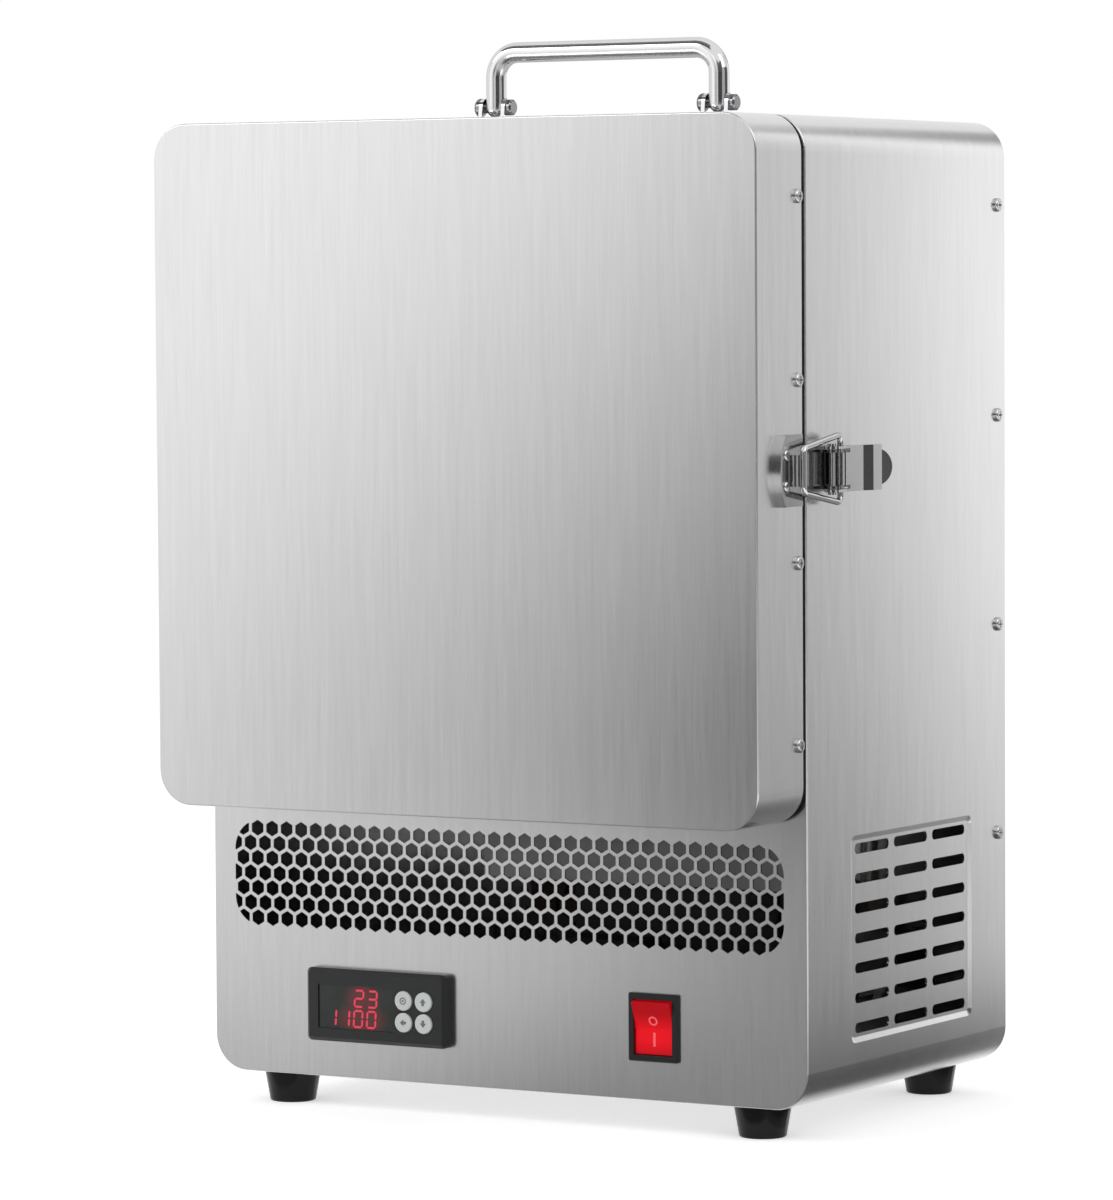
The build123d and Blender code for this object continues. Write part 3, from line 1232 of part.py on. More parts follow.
def foot(at):
    """A tapered rubber foot, bored from below for its screw."""
    x, y, _ = at
    cone = Pos(x, y, FOOT_H / 2) * Cone(FOOT_BOTTOM_R, FOOT_TOP_R, FOOT_H)
    cone = fillet(cone.edges().group_by(Axis.Z)[0], FOOT_EDGE_R)
    cone -= rod_z(x, y, -CUT, FOOT_BORE_D, FOOT_BORE_R)
    return cone - rod_z(x, y, 0, FOOT_H + CUT, FOOT_SCREW_R + HOLE_FIT)


def foot_screw(at):
    x, y, _ = at
    top = BASE_Z + SHEET + FOOT_NUT_H + FOOT_SCREW_PROUD
    head = rod_z(x, y, FOOT_BORE_D - FOOT_SCREW_HEAD_H, FOOT_BORE_D, FOOT_SCREW_HEAD_R)
    return head + rod_z(x, y, FOOT_BORE_D, top, FOOT_SCREW_R)


def foot_nut(at):
    x, y, _ = at
    z = BASE_Z + SHEET
    nut = plate_z(Pos(x, y) * RegularPolygon(FOOT_NUT_FLATS / 2, 6, False), z, z + FOOT_NUT_H)
    return nut - rod_z(x, y, z - CUT, z + FOOT_NUT_H + CUT, FOOT_SCREW_R + RUNNING_FIT)


# ---------------------------------------------------------------- controller

def control_at(dx, dz):
    return CONTROL_X + dx, BASE_Z + CONTROL_Z + dz


def button_places():
    """The four button centres, left to right and top to bottom."""
    places = []
    for dz in (0.5, -0.5):
        for dx in (-0.5, 0.5):
            places.append(control_at(BUTTON_X + dx * BUTTON_PITCH_X, BUTTON_Z + dz * BUTTON_PITCH_Z))
    return places


def controller_bezel():
    """The black frame in front of the panel, hollow behind its face."""
    x, z = control_at(0, 0)
    front = FRONT_Y - BEZEL_T
    bezel = plate_y(round_rect(BEZEL_W, BEZEL_H, BEZEL_R, x, z), front, FRONT_Y)
    bezel = chamfer(bezel.edges().group_by(Axis.Y)[0], BEZEL_BEVEL)
    hollow = window(HOUSING_W - 2 * HOUSING_WALL, HOUSING_H - 2 * HOUSING_WALL, x, z)
    bezel -= plate_y(hollow, front + BEZEL_FACE_T, FRONT_Y + CUT)
    wx, wz = control_at(WINDOW_X, WINDOW_Z)
    sill = window(WINDOW_W + 2 * SHEET_FIT, WINDOW_H + 2 * SHEET_FIT, wx, wz)
    bezel -= plate_y(sill, front - CUT, front + WINDOW_SINK + WINDOW_T)
    through = window(WINDOW_W - 2 * WINDOW_LEDGE, WINDOW_H - 2 * WINDOW_LEDGE, wx, wz)
    bezel -= plate_y(through, front - CUT, FRONT_Y)
    for bx, bz in button_places():
        bezel -= rod_y(bx, front - CUT, FRONT_Y, bz, BUTTON_R + BUTTON_GAP)
    return bezel


def display_window():
    wx, wz = control_at(WINDOW_X, WINDOW_Z)
    y = FRONT_Y - BEZEL_T + WINDOW_SINK
    return plate_y(window(WINDOW_W, WINDOW_H, wx, wz), y, y + WINDOW_T)


def display_module():
    """The block of figures behind the window, on the circuit board."""
    wx, wz = control_at(WINDOW_X, WINDOW_Z)
    y = FRONT_Y - BEZEL_T + WINDOW_SINK + WINDOW_T + MOVING_GAP
    return plate_y(window(MODULE_W, MODULE_H, wx, wz), y, FRONT_Y + BOARD_PCB_Y)


def controller_board():
    """The circuit board, with a switch stud behind each button."""
    x, z = control_at(0, 0)
    gap = HOUSING_WALL + BLOCK_FIT
    outline = window(HOUSING_W - 2 * gap, HOUSING_H - 2 * gap, x, z)
    y = FRONT_Y + BOARD_PCB_Y
    board = plate_y(outline, y, y + BOARD_PCB_T)
    stud_front = button_back() + BUTTON_TRAVEL + MOVING_GAP
    for bx, bz in button_places():
        board += rod_y(bx, stud_front, y, bz, SWITCH_STUD_R)
    return board


def controller_housing():
    """The case of the controller behind the panel, open towards the bezel."""
    x, z = control_at(0, 0)
    inner = window(HOUSING_W - 2 * HOUSING_WALL, HOUSING_H - 2 * HOUSING_WALL, x, z)
    housing = plate_y(window(HOUSING_W, HOUSING_H, x, z), FRONT_Y, FRONT_Y + HOUSING_D)
    return housing - plate_y(inner, FRONT_Y - CUT, FRONT_Y + HOUSING_D - HOUSING_WALL)


def controller_clips():
    """Two clips that hold the housing against the back of the panel."""
    x, z = control_at(0, 0)
    y = FRONT_Y + SHEET
    clips = []
    for side in (-1, 1):
        x0 = x + side * HOUSING_W / 2
        x1 = x0 + side * CLIP_W
        outline = [(x0, y), (x1, y), (x1, y + CLIP_L / 3), (x0, y + CLIP_L)]
        wedge = make_face(Polyline(outline, close=True))
        clips.append(plate_z(wedge, z - CLIP_H / 2, z + CLIP_H / 2))
    return clips


def button_back():
    return FRONT_Y - BEZEL_T + BEZEL_FACE_T + SHEET_FIT + BUTTON_FLANGE_T


def button(place):
    """A round cap, kept in by its flange."""
    bx, bz = place
    front = FRONT_Y - BEZEL_T - BUTTON_PROUD
    back = button_back()
    cap = rod_y(bx, front, back, bz, BUTTON_R)
    cap = fillet(cap.edges().group_by(Axis.Y)[0], BUTTON_EDGE_R)
    return cap + rod_y(bx, back - BUTTON_FLANGE_T, back, bz, BUTTON_FLANGE_R)


# ---------------------------------------------------------------- rocker switch

def rocker_pivot():
    return FRONT_Y + ROCKER_PIVOT_Y, BASE_Z + ROCKER_Z


def rocker_housing():
    """The switch body with its front flange, hollow for the rocker."""
    y, z = rocker_pivot()
    front = FRONT_Y - ROCKER_FLANGE_T
    outline = round_rect(ROCKER_FLANGE_W, ROCKER_FLANGE_H, ROCKER_CORNER_R, ROCKER_X, z)
    flange = plate_y(outline, front, FRONT_Y)
    flange = chamfer(flange.edges().group_by(Axis.Y)[0], ROCKER_EDGE)
    body = window(ROCKER_BODY_W, ROCKER_BODY_H, ROCKER_X, z)
    body = flange + plate_y(body, FRONT_Y, FRONT_Y + ROCKER_BODY_D)
    inner_w = ROCKER_BODY_W - 2 * ROCKER_WALL
    inner = window(inner_w, 2 * (ROCKER_R + MOVING_GAP), ROCKER_X, z)
    body -= plate_y(inner, front - CUT, y + ROCKER_R + MOVING_GAP)
    half = inner_w / 2 + ROCKER_TRUNNION_L
    return body - rod_x(ROCKER_X - half, ROCKER_X + half, y, z, ROCKER_TRUNNION_R + RUNNING_FIT)


def rocker_button():
    """The rocker, drawn level and then tilted to ON, with its lower end in."""
    y, z = rocker_pivot()
    half_w = ROCKER_BODY_W / 2 - ROCKER_WALL - MOVING_GAP
    rise = ROCKER_R * tan(radians(ROCKER_TILT))
    tip = -ROCKER_CREST - rise
    points = [(-ROCKER_CREST, 0), (tip, ROCKER_R), (ROCKER_ROOT, ROCKER_R)]
    points += [(ROCKER_ROOT, -ROCKER_R), (tip, -ROCKER_R)]
    face = make_face(Polyline(points, close=True)) & Circle(ROCKER_R)
    rocker = plate_x(face, -half_w, half_w)
    pin_half = half_w + MOVING_GAP + ROCKER_TRUNNION_L - SHEET_FIT
    rocker += rod_x(-pin_half, pin_half, 0, 0, ROCKER_TRUNNION_R)
    return Pos(ROCKER_X, y, z) * Rot(ROCKER_TILT, 0, 0) * rocker


def rocker_blades():
    """Four blades at the back of the switch."""
    y0 = FRONT_Y + ROCKER_BODY_D
    blades = []
    for dx in (-0.5, 0.5):
        for dz in (-0.5, 0.5):
            x = ROCKER_X + dx * ROCKER_BODY_W / 2
            z = BASE_Z + ROCKER_Z + dz * ROCKER_BODY_H / 2
            blades.append(plate_y(window(BLADE_T, BLADE_W, x, z), y0, y0 + BLADE_L))
    return blades


# ---------------------------------------------------------------- electronics bay

def fan_screw_places():
    half = FAN_HOLE_PITCH / 2
    return [(x, BASE_Z + FAN_Z + z) for x in (-half, half) for z in (-half, half)]


def fan_frame():
    """The square fan frame on the back panel, with the motor's plate on four struts."""
    z = BASE_Z + FAN_Z
    y1 = BACK_INSIDE
    y0 = y1 - FAN_T
    frame = plate_y(round_rect(FAN_SIZE, FAN_SIZE, FAN_CORNER_R, 0, z), y0, y1)
    frame -= rod_y(0, y0 - CUT, y1 + CUT, z, FAN_DUCT_R)
    plate_y0 = y1 - FAN_PLATE_T
    frame += rod_y(0, plate_y0, y1, z, FAN_HUB_R)
    for turn in (45, 135):
        strut = Box(2 * (FAN_DUCT_R + CUT), FAN_PLATE_T, FAN_STRUT_W)
        frame += Pos(0, y1 - FAN_PLATE_T / 2, z) * Rot(0, turn, 0) * strut
    frame += rod_y(0, y1 - FAN_T / 2, y1, z, FAN_SHAFT_R + FAN_BEARING_WALL)
    frame -= rod_y(0, y0, y1 - FAN_PLATE_T / 2, z, FAN_SHAFT_R + RUNNING_FIT)
    for x, hole_z in fan_screw_places():
        frame -= rod_y(x, y0 - CUT, y1 + CUT, hole_z, FAN_SCREW_R + HOLE_FIT)
    return frame


def fan_rotor():
    """Hub cup, shaft and pitched blades."""
    z = BASE_Z + FAN_Z
    cup_front = BACK_INSIDE - FAN_T + FAN_END_GAP
    cup_back = BACK_INSIDE - FAN_PLATE_T - FAN_END_GAP
    cup_inside = FAN_HUB_R - FAN_WALL
    rotor = rod_y(0, cup_front, cup_back, z, FAN_HUB_R)
    rotor -= rod_y(0, cup_front + FAN_WALL, cup_back + CUT, z, cup_inside)
    rotor += rod_y(0, cup_front, BACK_INSIDE - FAN_PLATE_T, z, FAN_SHAFT_R)
    depth = cup_back - cup_front - 2 * FAN_END_GAP
    middle = (cup_back + cup_front) / 2
    ring = rod_y(0, middle - depth / 2, middle + depth / 2, z, FAN_BLADE_R)
    ring -= rod_y(0, middle - depth, middle + depth, z, FAN_HUB_R - FAN_WALL / 2)
    span = FAN_BLADE_R - cup_inside + FAN_WALL
    paddle = Rot(FAN_PITCH_ANGLE, 0, 0) * Box(span, FAN_BLADE_T, 2 * depth)
    for i in range(FAN_BLADES):
        turned = Rot(0, i * 360 / FAN_BLADES, 0) * Pos(cup_inside + span / 2, 0, 0) * paddle
        rotor += (Pos(0, middle, z) * turned) & ring
    return rotor


def fan_screws():
    screw = pan_screw(HEAD_R, HEAD_H, FAN_SCREW_R, FAN_SCREW_L)
    return [aim(screw, (x, BACK_Y, z), (0, 1, 0)) for x, z in fan_screw_places()]


def terminal_blocks():
    """Two ceramic blocks where the heater leads end."""
    z = BASE_Z + BLOCK_Z
    y0 = BACK_INSIDE - BLOCK_D
    blocks = []
    for side in (-1, 1):
        x = side * ELEMENT_X
        body = plate_y(window(BLOCK_W, BLOCK_H, x, z), y0, BACK_INSIDE)
        for turn in (-1, 1):
            well_x = x + turn * (TERMINAL_TAB - LEAD_R)
            body -= rod_y(well_x, y0 - CUT, y0 + BLOCK_WELL_D, z, BLOCK_WELL_R)
        slit = window(BLOCK_SLIT, 2 * BLOCK_H, x, z)
        blocks.append(body - plate_y(slit, y0 - CUT, y0 + BLOCK_WELL_D))
    return blocks


def probe_connector():
    """The small plug where the thermocouple's lead ends."""
    z1 = BASE_Z + BLOCK_Z + BLOCK_H / 2
    y0 = BACK_INSIDE - BLOCK_D
    outline = window(CONNECTOR_W, CONNECTOR_H, PROBE_X, z1 - CONNECTOR_H / 2)
    return plate_y(outline, y0, BACK_INSIDE)


def heat_sink():
    """A finned plate standing on the case bottom, fins to the back."""
    y0 = FRONT_Y + SINK_Y
    z0 = BASE_Z + SHEET
    y1 = y0 + SINK_T
    x0 = SINK_X - SINK_W / 2
    sink = block(x0, x0 + SINK_W, y0, y1, z0, z0 + SINK_H)
    for i in range(FIN_COUNT):
        x = x0 + i * (SINK_W - FIN_T) / (FIN_COUNT - 1)
        sink += block(x, x + FIN_T, y1, y1 + FIN_D, z0, z0 + SINK_H)
    for z in relay_screw_heights():
        sink -= rod_y(RELAY_X, y0 - CUT, y1 + CUT, z, RELAY_SCREW_R + RUNNING_FIT)
    return sink


def relay_screw_heights():
    z = BASE_Z + RELAY_Z
    return [z - RELAY_SCREW_PITCH / 2, z + RELAY_SCREW_PITCH / 2]


def solid_state_relay():
    """The relay block on the front of the heat sink."""
    y1 = FRONT_Y + SINK_Y
    z = BASE_Z + RELAY_Z
    relay = plate_y(round_rect(RELAY_W, RELAY_H, RELAY_CORNER_R, RELAY_X, z), y1 - RELAY_T, y1)
    relay = chamfer(relay.edges().group_by(Axis.Y)[0], RELAY_EDGE)
    for hole_z in relay_screw_heights():
        relay -= rod_y(RELAY_X, y1 - RELAY_T - CUT, y1 + CUT, hole_z, RELAY_SCREW_R + HOLE_FIT)
    return relay


def relay_screws():
    y = FRONT_Y + SINK_Y - RELAY_T
    screw = pan_screw(HEAD_R, HEAD_H, RELAY_SCREW_R, RELAY_SCREW_L)
    return [aim(screw, (RELAY_X, y, z), (0, -1, 0)) for z in relay_screw_heights()]


def inlet_screw_heights():
    z = BASE_Z + INLET_Z
    return [z - INLET_SCREW_PITCH / 2, z + INLET_SCREW_PITCH / 2]


def power_inlet():
    """The mains socket in the back panel, with a recess for the cord's connector."""
    z = BASE_Z + INLET_Z
    outer_y = BACK_Y + INLET_T
    inlet = plate_y(round_rect(INLET_W, INLET_H, INLET_CORNER_R, INLET_X, z), BACK_Y, outer_y)
    body = window(INLET_BODY_W, INLET_BODY_H, INLET_X, z)
    inlet += plate_y(body, outer_y - INLET_BODY_D, BACK_Y)
    recess = window(SOCKET_W, SOCKET_H, INLET_X, z)
    inlet -= plate_y(recess, outer_y - SOCKET_D, outer_y + CUT)
    for hole_z in inlet_screw_heights():
        inlet -= rod_y(INLET_X, BACK_Y - CUT, outer_y + CUT, hole_z, INLET_SCREW_R + HOLE_FIT)
    return inlet


def inlet_pins():
    """The three contacts of the socket, upright in a row with the earth set over."""
    z = BASE_Z + INLET_Z
    floor_y = BACK_Y + INLET_T - SOCKET_D
    pins = []
    for row in (-1, 0, 1):
        x = INLET_X + (INLET_PIN_OFFSET if row == 0 else -INLET_PIN_OFFSET)
        outline = window(INLET_PIN_H, INLET_PIN_W, x, z + row * INLET_PIN_PITCH)
        pins.append(plate_y(outline, floor_y, floor_y + INLET_PIN_L))
    return pins


def inlet_screws():
    screw = pan_screw(INLET_SCREW_HEAD_R, INLET_SCREW_HEAD_H, INLET_SCREW_R, INLET_SCREW_L)
    return [aim(screw, (INLET_X, BACK_Y + INLET_T, z), (0, 1, 0)) for z in inlet_screw_heights()]


def earth_stud():
    """The protective earth stud through the back panel, with a nut on each face."""
    z = BASE_Z + EARTH_Z
    stud = rod_y(EARTH_X, BACK_Y - EARTH_L, BACK_Y + EARTH_OUT, z, EARTH_R)
    nut = Pos(EARTH_X, z) * RegularPolygon(FOOT_NUT_FLATS / 2, 6, False)
    stud += plate_y(nut, BACK_Y, BACK_Y + FOOT_NUT_H)
    return stud + plate_y(nut, BACK_INSIDE - FOOT_NUT_H, BACK_INSIDE)


# ---------------------------------------------------------------- nodes

save("case_wrapper", case_wrapper())
save("front_panel", front_panel())
save("back_panel", back_panel())
save("case_screws", case_screws())
save("bay_divider", bay_divider())
save("box_stands", box_stands())
save("feet", [foot(at) for at, _ in foot_places()])
save("foot_screws", [piece(at) for at, _ in foot_places() for piece in (foot_screw, foot_nut)])

save("inner_box", inner_box())
save("insulation_blanket", insulation_blanket())
save("side_boards", [side_board(side) for side in (-1, 1)])
save("roof_and_floor_boards", [flat_board(side) for side in (-1, 1)])
save("back_board", back_board())
save("heating_elements", [heating_element(side) for side in (-1, 1)])
save("element_bushings", bushings())
save("element_terminals", terminals())
save("bay_leads", bay_leads())
save("thermocouple", thermocouple())
save("hearth_plate", hearth_plate())

save("door_shell", door_shell())
save("door_back_plate", door_back_plate())
save("door_insulation", door_insulation())
save("door_plug", door_plug())
save("door_gasket", door_gasket())
save("door_screws", door_screws())
save("hinge_case_leaves", [hinge_leaf(z, 1) for z in hinge_heights()])
save("hinge_door_leaves", [hinge_leaf(z, -1) for z in hinge_heights()])
save("hinge_pins", hinge_pins())
save("hinge_screws", hinge_screws(1))
save("hinge_door_screws", hinge_screws(-1))

save("latch_keeper", latch_keeper())
save("keeper_rivets", latch_rivets(keeper_rivet_places(SIDE_X + KEEPER_T)))
save("latch_base", latch_base())
save("latch_base_rivets", latch_rivets(base_rivet_places(SIDE_X + LATCH_PLATE_T)))
save("latch_pin", latch_pin())
save("latch_lever", latch_lever())
save("latch_bail", latch_bail())

save("handle_rod", handle_rod())
save("handle_brackets", [handle_bracket(side) for side in (-1, 1)])
save("handle_pins", [handle_pin(side) for side in (-1, 1)])
save("handle_screws", bracket_screws())

save("controller_bezel", controller_bezel())
save("display_window", display_window())
save("controller_board", [controller_board(), display_module()])
save("controller_housing", controller_housing())
save("controller_clips", controller_clips())
for name, place in zip(("set_button", "up_button", "shift_button", "down_button"), button_places()):
    save(name, button(place))

save("rocker_housing", [rocker_housing()] + rocker_blades())
save("rocker_button", rocker_button())

save("fan_frame", fan_frame())
save("fan_rotor", fan_rotor())
save("terminal_blocks", terminal_blocks() + [probe_connector()])
save("heat_sink", heat_sink())
save("solid_state_relay", solid_state_relay())
save("power_inlet", power_inlet())
save("inlet_pins", inlet_pins())
save("bay_fasteners", fan_screws() + relay_screws() + inlet_screws() + [earth_stud()])
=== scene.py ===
import bpy
import bmesh
import math
from mathutils import Matrix, Vector


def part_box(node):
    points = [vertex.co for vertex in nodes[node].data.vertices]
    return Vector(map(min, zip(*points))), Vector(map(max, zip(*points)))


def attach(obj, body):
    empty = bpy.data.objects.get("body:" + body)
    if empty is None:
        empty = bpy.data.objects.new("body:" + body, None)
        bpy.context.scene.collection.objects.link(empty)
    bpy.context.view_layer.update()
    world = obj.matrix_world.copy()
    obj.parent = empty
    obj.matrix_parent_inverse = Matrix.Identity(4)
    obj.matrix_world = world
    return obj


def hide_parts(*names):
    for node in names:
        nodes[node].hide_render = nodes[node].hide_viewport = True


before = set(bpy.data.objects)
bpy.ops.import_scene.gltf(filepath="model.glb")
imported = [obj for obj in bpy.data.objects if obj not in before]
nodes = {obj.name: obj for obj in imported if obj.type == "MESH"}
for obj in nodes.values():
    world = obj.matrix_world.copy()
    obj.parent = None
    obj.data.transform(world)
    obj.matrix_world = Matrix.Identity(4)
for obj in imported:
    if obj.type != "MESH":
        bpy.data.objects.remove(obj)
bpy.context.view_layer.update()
print("frame loaded:", len(nodes), "nodes")


# material helpers

def startMaterial(name):
    # a new material, its node tree and its Principled shader
    material = bpy.data.materials.new(name)
    material.use_nodes = True
    tree = material.node_tree
    shader = tree.nodes["Principled BSDF"]
    return material, tree, shader


def addNode(tree, kind, **inputs):
    # inputs are given by socket name, with _ for a space
    node = tree.nodes.new(kind)
    for key, value in inputs.items():
        setInput(tree, node.inputs[key.replace("_", " ")], value)
    return node


def setInput(tree, socket, value):
    # another node's socket is linked, and anything else is set as the value
    if isinstance(value, bpy.types.NodeSocket):
        tree.links.new(value, socket)
    else:
        socket.default_value = value


def mathNode(tree, operation, a, b=0.0):
    node = tree.nodes.new("ShaderNodeMath")
    node.operation = operation
    setInput(tree, node.inputs[0], a)
    setInput(tree, node.inputs[1], b)
    return node.outputs[0]


def objectCoords(tree, scale=(1, 1, 1)):
    place = tree.nodes.new("ShaderNodeTexCoord")
    mapping = addNode(tree, "ShaderNodeMapping", Vector=place.outputs["Object"], Scale=scale)
    return mapping.outputs[0]


def noiseValue(tree, vector, scale, detail=3.0, roughness=0.5):
    node = addNode(tree, "ShaderNodeTexNoise", Vector=vector, Scale=scale, Detail=detail,
                   Roughness=roughness)
    return node.outputs["Fac"]


def rangeNode(tree, value, start, end, first, last, kind="SMOOTHSTEP"):
    # start to end becomes first to last, and the result stays within those two
    node = addNode(tree, "ShaderNodeMapRange", Value=value, From_Min=start, From_Max=end,
                   To_Min=first, To_Max=last)
    node.interpolation_type = kind
    return node.outputs[0]


noiseMiddle = (0.3, 0.7)


def spread(tree, value, low, high):
    # maps the part of a noise that most of it falls in onto low to high
    return rangeNode(tree, value, *noiseMiddle, low, high, "LINEAR")


def blendColour(tree, factor, first, second):
    node = tree.nodes.new("ShaderNodeMix")
    node.data_type = "RGBA"
    setInput(tree, node.inputs[0], factor)
    setInput(tree, node.inputs[6], first)
    setInput(tree, node.inputs[7], second)
    return node.outputs[2]


def addBump(tree, shader, height, strength, distance):
    bump = addNode(tree, "ShaderNodeBump", Height=height, Strength=strength, Distance=distance)
    tree.links.new(bump.outputs[0], shader.inputs["Normal"])


def grey(value):
    return (value, value, value, 1)


def scaled(colour, factor):
    return tuple(min(1.0, c * factor) for c in colour[:3]) + (1,)


def varyColour(tree, shader, factor, vary, colour):
    # the base colour, a little darker and lighter by the factor's pattern
    mix = blendColour(tree, spread(tree, factor, 0.0, 1.0), scaled(colour, 1 - vary),
                      scaled(colour, 1 + vary))
    tree.links.new(mix, shader.inputs["Base Color"])


def shade(nodeName, material):
    mesh = nodes[nodeName].data
    mesh.materials.clear()
    mesh.materials.append(material)


# metals

steelLook = {
    "grey": 0.66,
    "greySpread": 0.026,
    "roughness": 0.24,
    "roughnessSpread": 0.015,
    "fineAcross": 1000.0,
    "fineAlong": 30.0,
    "broadAcross": 340.0,
    "broadAlong": 20.0,
    "smudges": 9.0,
    "bump": 0.02,
    "bumpDepth": 0.00002,
}


def brushedSteel(name, along, look=steelLook):
    # along is the axis that the brush lines follow
    material, tree, shader = startMaterial(name)
    fine = [look["fineAcross"]] * 3
    broad = [look["broadAcross"]] * 3
    fine["xyz".index(along)] = look["fineAlong"]
    broad["xyz".index(along)] = look["broadAlong"]
    lines = noiseValue(tree, objectCoords(tree, fine), 1.0, 2.0)
    bands = noiseValue(tree, objectCoords(tree, broad), 1.0, 2.0)
    both = mathNode(tree, "MULTIPLY", mathNode(tree, "ADD", lines, bands), 0.5)
    low = grey(look["grey"] - look["greySpread"])
    high = grey(look["grey"] + look["greySpread"])
    tree.links.new(blendColour(tree, spread(tree, both, 0.0, 1.0), low, high),
                   shader.inputs["Base Color"])
    smudge = noiseValue(tree, objectCoords(tree), look["smudges"], 2.0)
    rough = spread(tree, mathNode(tree, "MULTIPLY", mathNode(tree, "ADD", both, smudge), 0.5),
                   look["roughness"] - look["roughnessSpread"],
                   look["roughness"] + look["roughnessSpread"])
    tree.links.new(rough, shader.inputs["Roughness"])
    shader.inputs["Metallic"].default_value = 1.0
    addBump(tree, shader, both, look["bump"], look["bumpDepth"])
    return material


metalLook = {"cloudShare": 1 / 12, "roughnessVary": 0.25, "bumpDepth": 0.00003}


def plainMetal(name, colour, roughness, spots=400.0, vary=0.06, bump=0.05, edge=1.0):
    # turned, rolled or plated metal with fine wear; edge is how bright it is at grazing angles
    material, tree, shader = startMaterial(name)
    coords = objectCoords(tree)
    grain = noiseValue(tree, coords, spots, 3.0)
    cloud = noiseValue(tree, coords, spots * metalLook["cloudShare"], 2.0)
    both = mathNode(tree, "MULTIPLY", mathNode(tree, "ADD", grain, cloud), 0.5)
    varyColour(tree, shader, both, vary, colour)
    tree.links.new(spread(tree, both, roughness * (1 - metalLook["roughnessVary"]),
                          roughness * (1 + metalLook["roughnessVary"])),
                   shader.inputs["Roughness"])
    shader.inputs["Metallic"].default_value = 1.0
    shader.inputs["Specular Tint"].default_value = grey(edge)
    addBump(tree, shader, grain, bump, metalLook["bumpDepth"])
    return material


# plastics, rubber, ceramics

mouldedLook = {"clouds": 60.0, "roughnessVary": 0.15, "bumpDepth": 0.00004}


def moulded(name, colour, roughness, grainScale=2500.0, vary=0.08, bump=0.12, gloss=0.5):
    # smooth or finely grained moulded, glazed or anodised surface
    material, tree, shader = startMaterial(name)
    coords = objectCoords(tree)
    grain = noiseValue(tree, coords, grainScale, 2.0)
    cloud = noiseValue(tree, coords, mouldedLook["clouds"], 2.0)
    varyColour(tree, shader, cloud, vary, colour)
    tree.links.new(spread(tree, cloud, roughness * (1 - mouldedLook["roughnessVary"]),
                          roughness * (1 + mouldedLook["roughnessVary"])),
                   shader.inputs["Roughness"])
    shader.inputs["Specular IOR Level"].default_value = gloss
    addBump(tree, shader, grain, bump, mouldedLook["bumpDepth"])
    return material


fibreLook = {
    "stretch": (1.0, 3.5, 1.0),
    "threadEdge": 0.65,
    "hollowShare": 1 / 9,
    "hollowDepth": 0.8,
    "speckShare": 0.5,
    "roughness": (0.92, 1.0),
    "gloss": 0.15,
    "bumpDepth": 0.0006,
}


def fibrous(name, colour, shadow, scale, bump):
    # felted or vacuum-formed ceramic fibre: short threads, specks and soft hollows
    material, tree, shader = startMaterial(name)
    coords = objectCoords(tree)
    threads = noiseValue(tree, objectCoords(tree, fibreLook["stretch"]), scale, 5.0,
                         fibreLook["threadEdge"])
    hollows = noiseValue(tree, coords, scale * fibreLook["hollowShare"], 3.0)
    specks = addNode(tree, "ShaderNodeTexVoronoi", Vector=coords,
                     Scale=scale * fibreLook["speckShare"])
    height = mathNode(tree, "ADD", threads,
                      mathNode(tree, "MULTIPLY", hollows, fibreLook["hollowDepth"]))
    tree.links.new(blendColour(tree, spread(tree, threads, 0.0, 1.0), shadow, colour),
                   shader.inputs["Base Color"])
    tree.links.new(spread(tree, specks.outputs["Distance"], *fibreLook["roughness"]),
                   shader.inputs["Roughness"])
    shader.inputs["Specular IOR Level"].default_value = fibreLook["gloss"]
    addBump(tree, shader, height, bump, fibreLook["bumpDepth"])
    return material


sleeveLook = {
    "thread": (0.75, 0.72, 0.64, 1),
    "between": (0.42, 0.38, 0.30, 1),
    "fine": 900.0,
    "waves": 0.35,
    "waver": 0.6,
    "roughness": (0.65, 0.85),
    "bump": 0.4,
    "bumpDepth": 0.0002,
}


def wovenSleeve(name):
    # glass-braid lead: two crossing sets of diagonal threads, with painted shade in the gaps
    # between them
    material, tree, shader = startMaterial(name)
    fine = sleeveLook["fine"]
    waves = []
    for tilt in (1.0, -1.0):
        turned = objectCoords(tree, (fine, fine * tilt, fine))
        wave = addNode(tree, "ShaderNodeTexWave", Vector=turned, Scale=sleeveLook["waves"],
                       Distortion=sleeveLook["waver"])
        wave.bands_direction = "DIAGONAL"
        waves.append(wave.outputs["Fac"])
    cross = mathNode(tree, "MAXIMUM", *waves)
    tree.links.new(blendColour(tree, cross, sleeveLook["between"], sleeveLook["thread"]),
                   shader.inputs["Base Color"])
    tree.links.new(spread(tree, cross, *sleeveLook["roughness"]), shader.inputs["Roughness"])
    addBump(tree, shader, cross, sleeveLook["bump"], sleeveLook["bumpDepth"])
    return material


boardLook = {
    "dark": (0.010, 0.085, 0.030, 1),
    "mid": (0.014, 0.110, 0.038, 1),
    "track": (0.040, 0.190, 0.070, 1),
    "fine": 420.0,
    "trackW": 0.12,
    "clouds": 0.4,
    "roughness": (0.25, 0.4),
    "bump": 0.3,
    "bumpDepth": 0.00005,
}


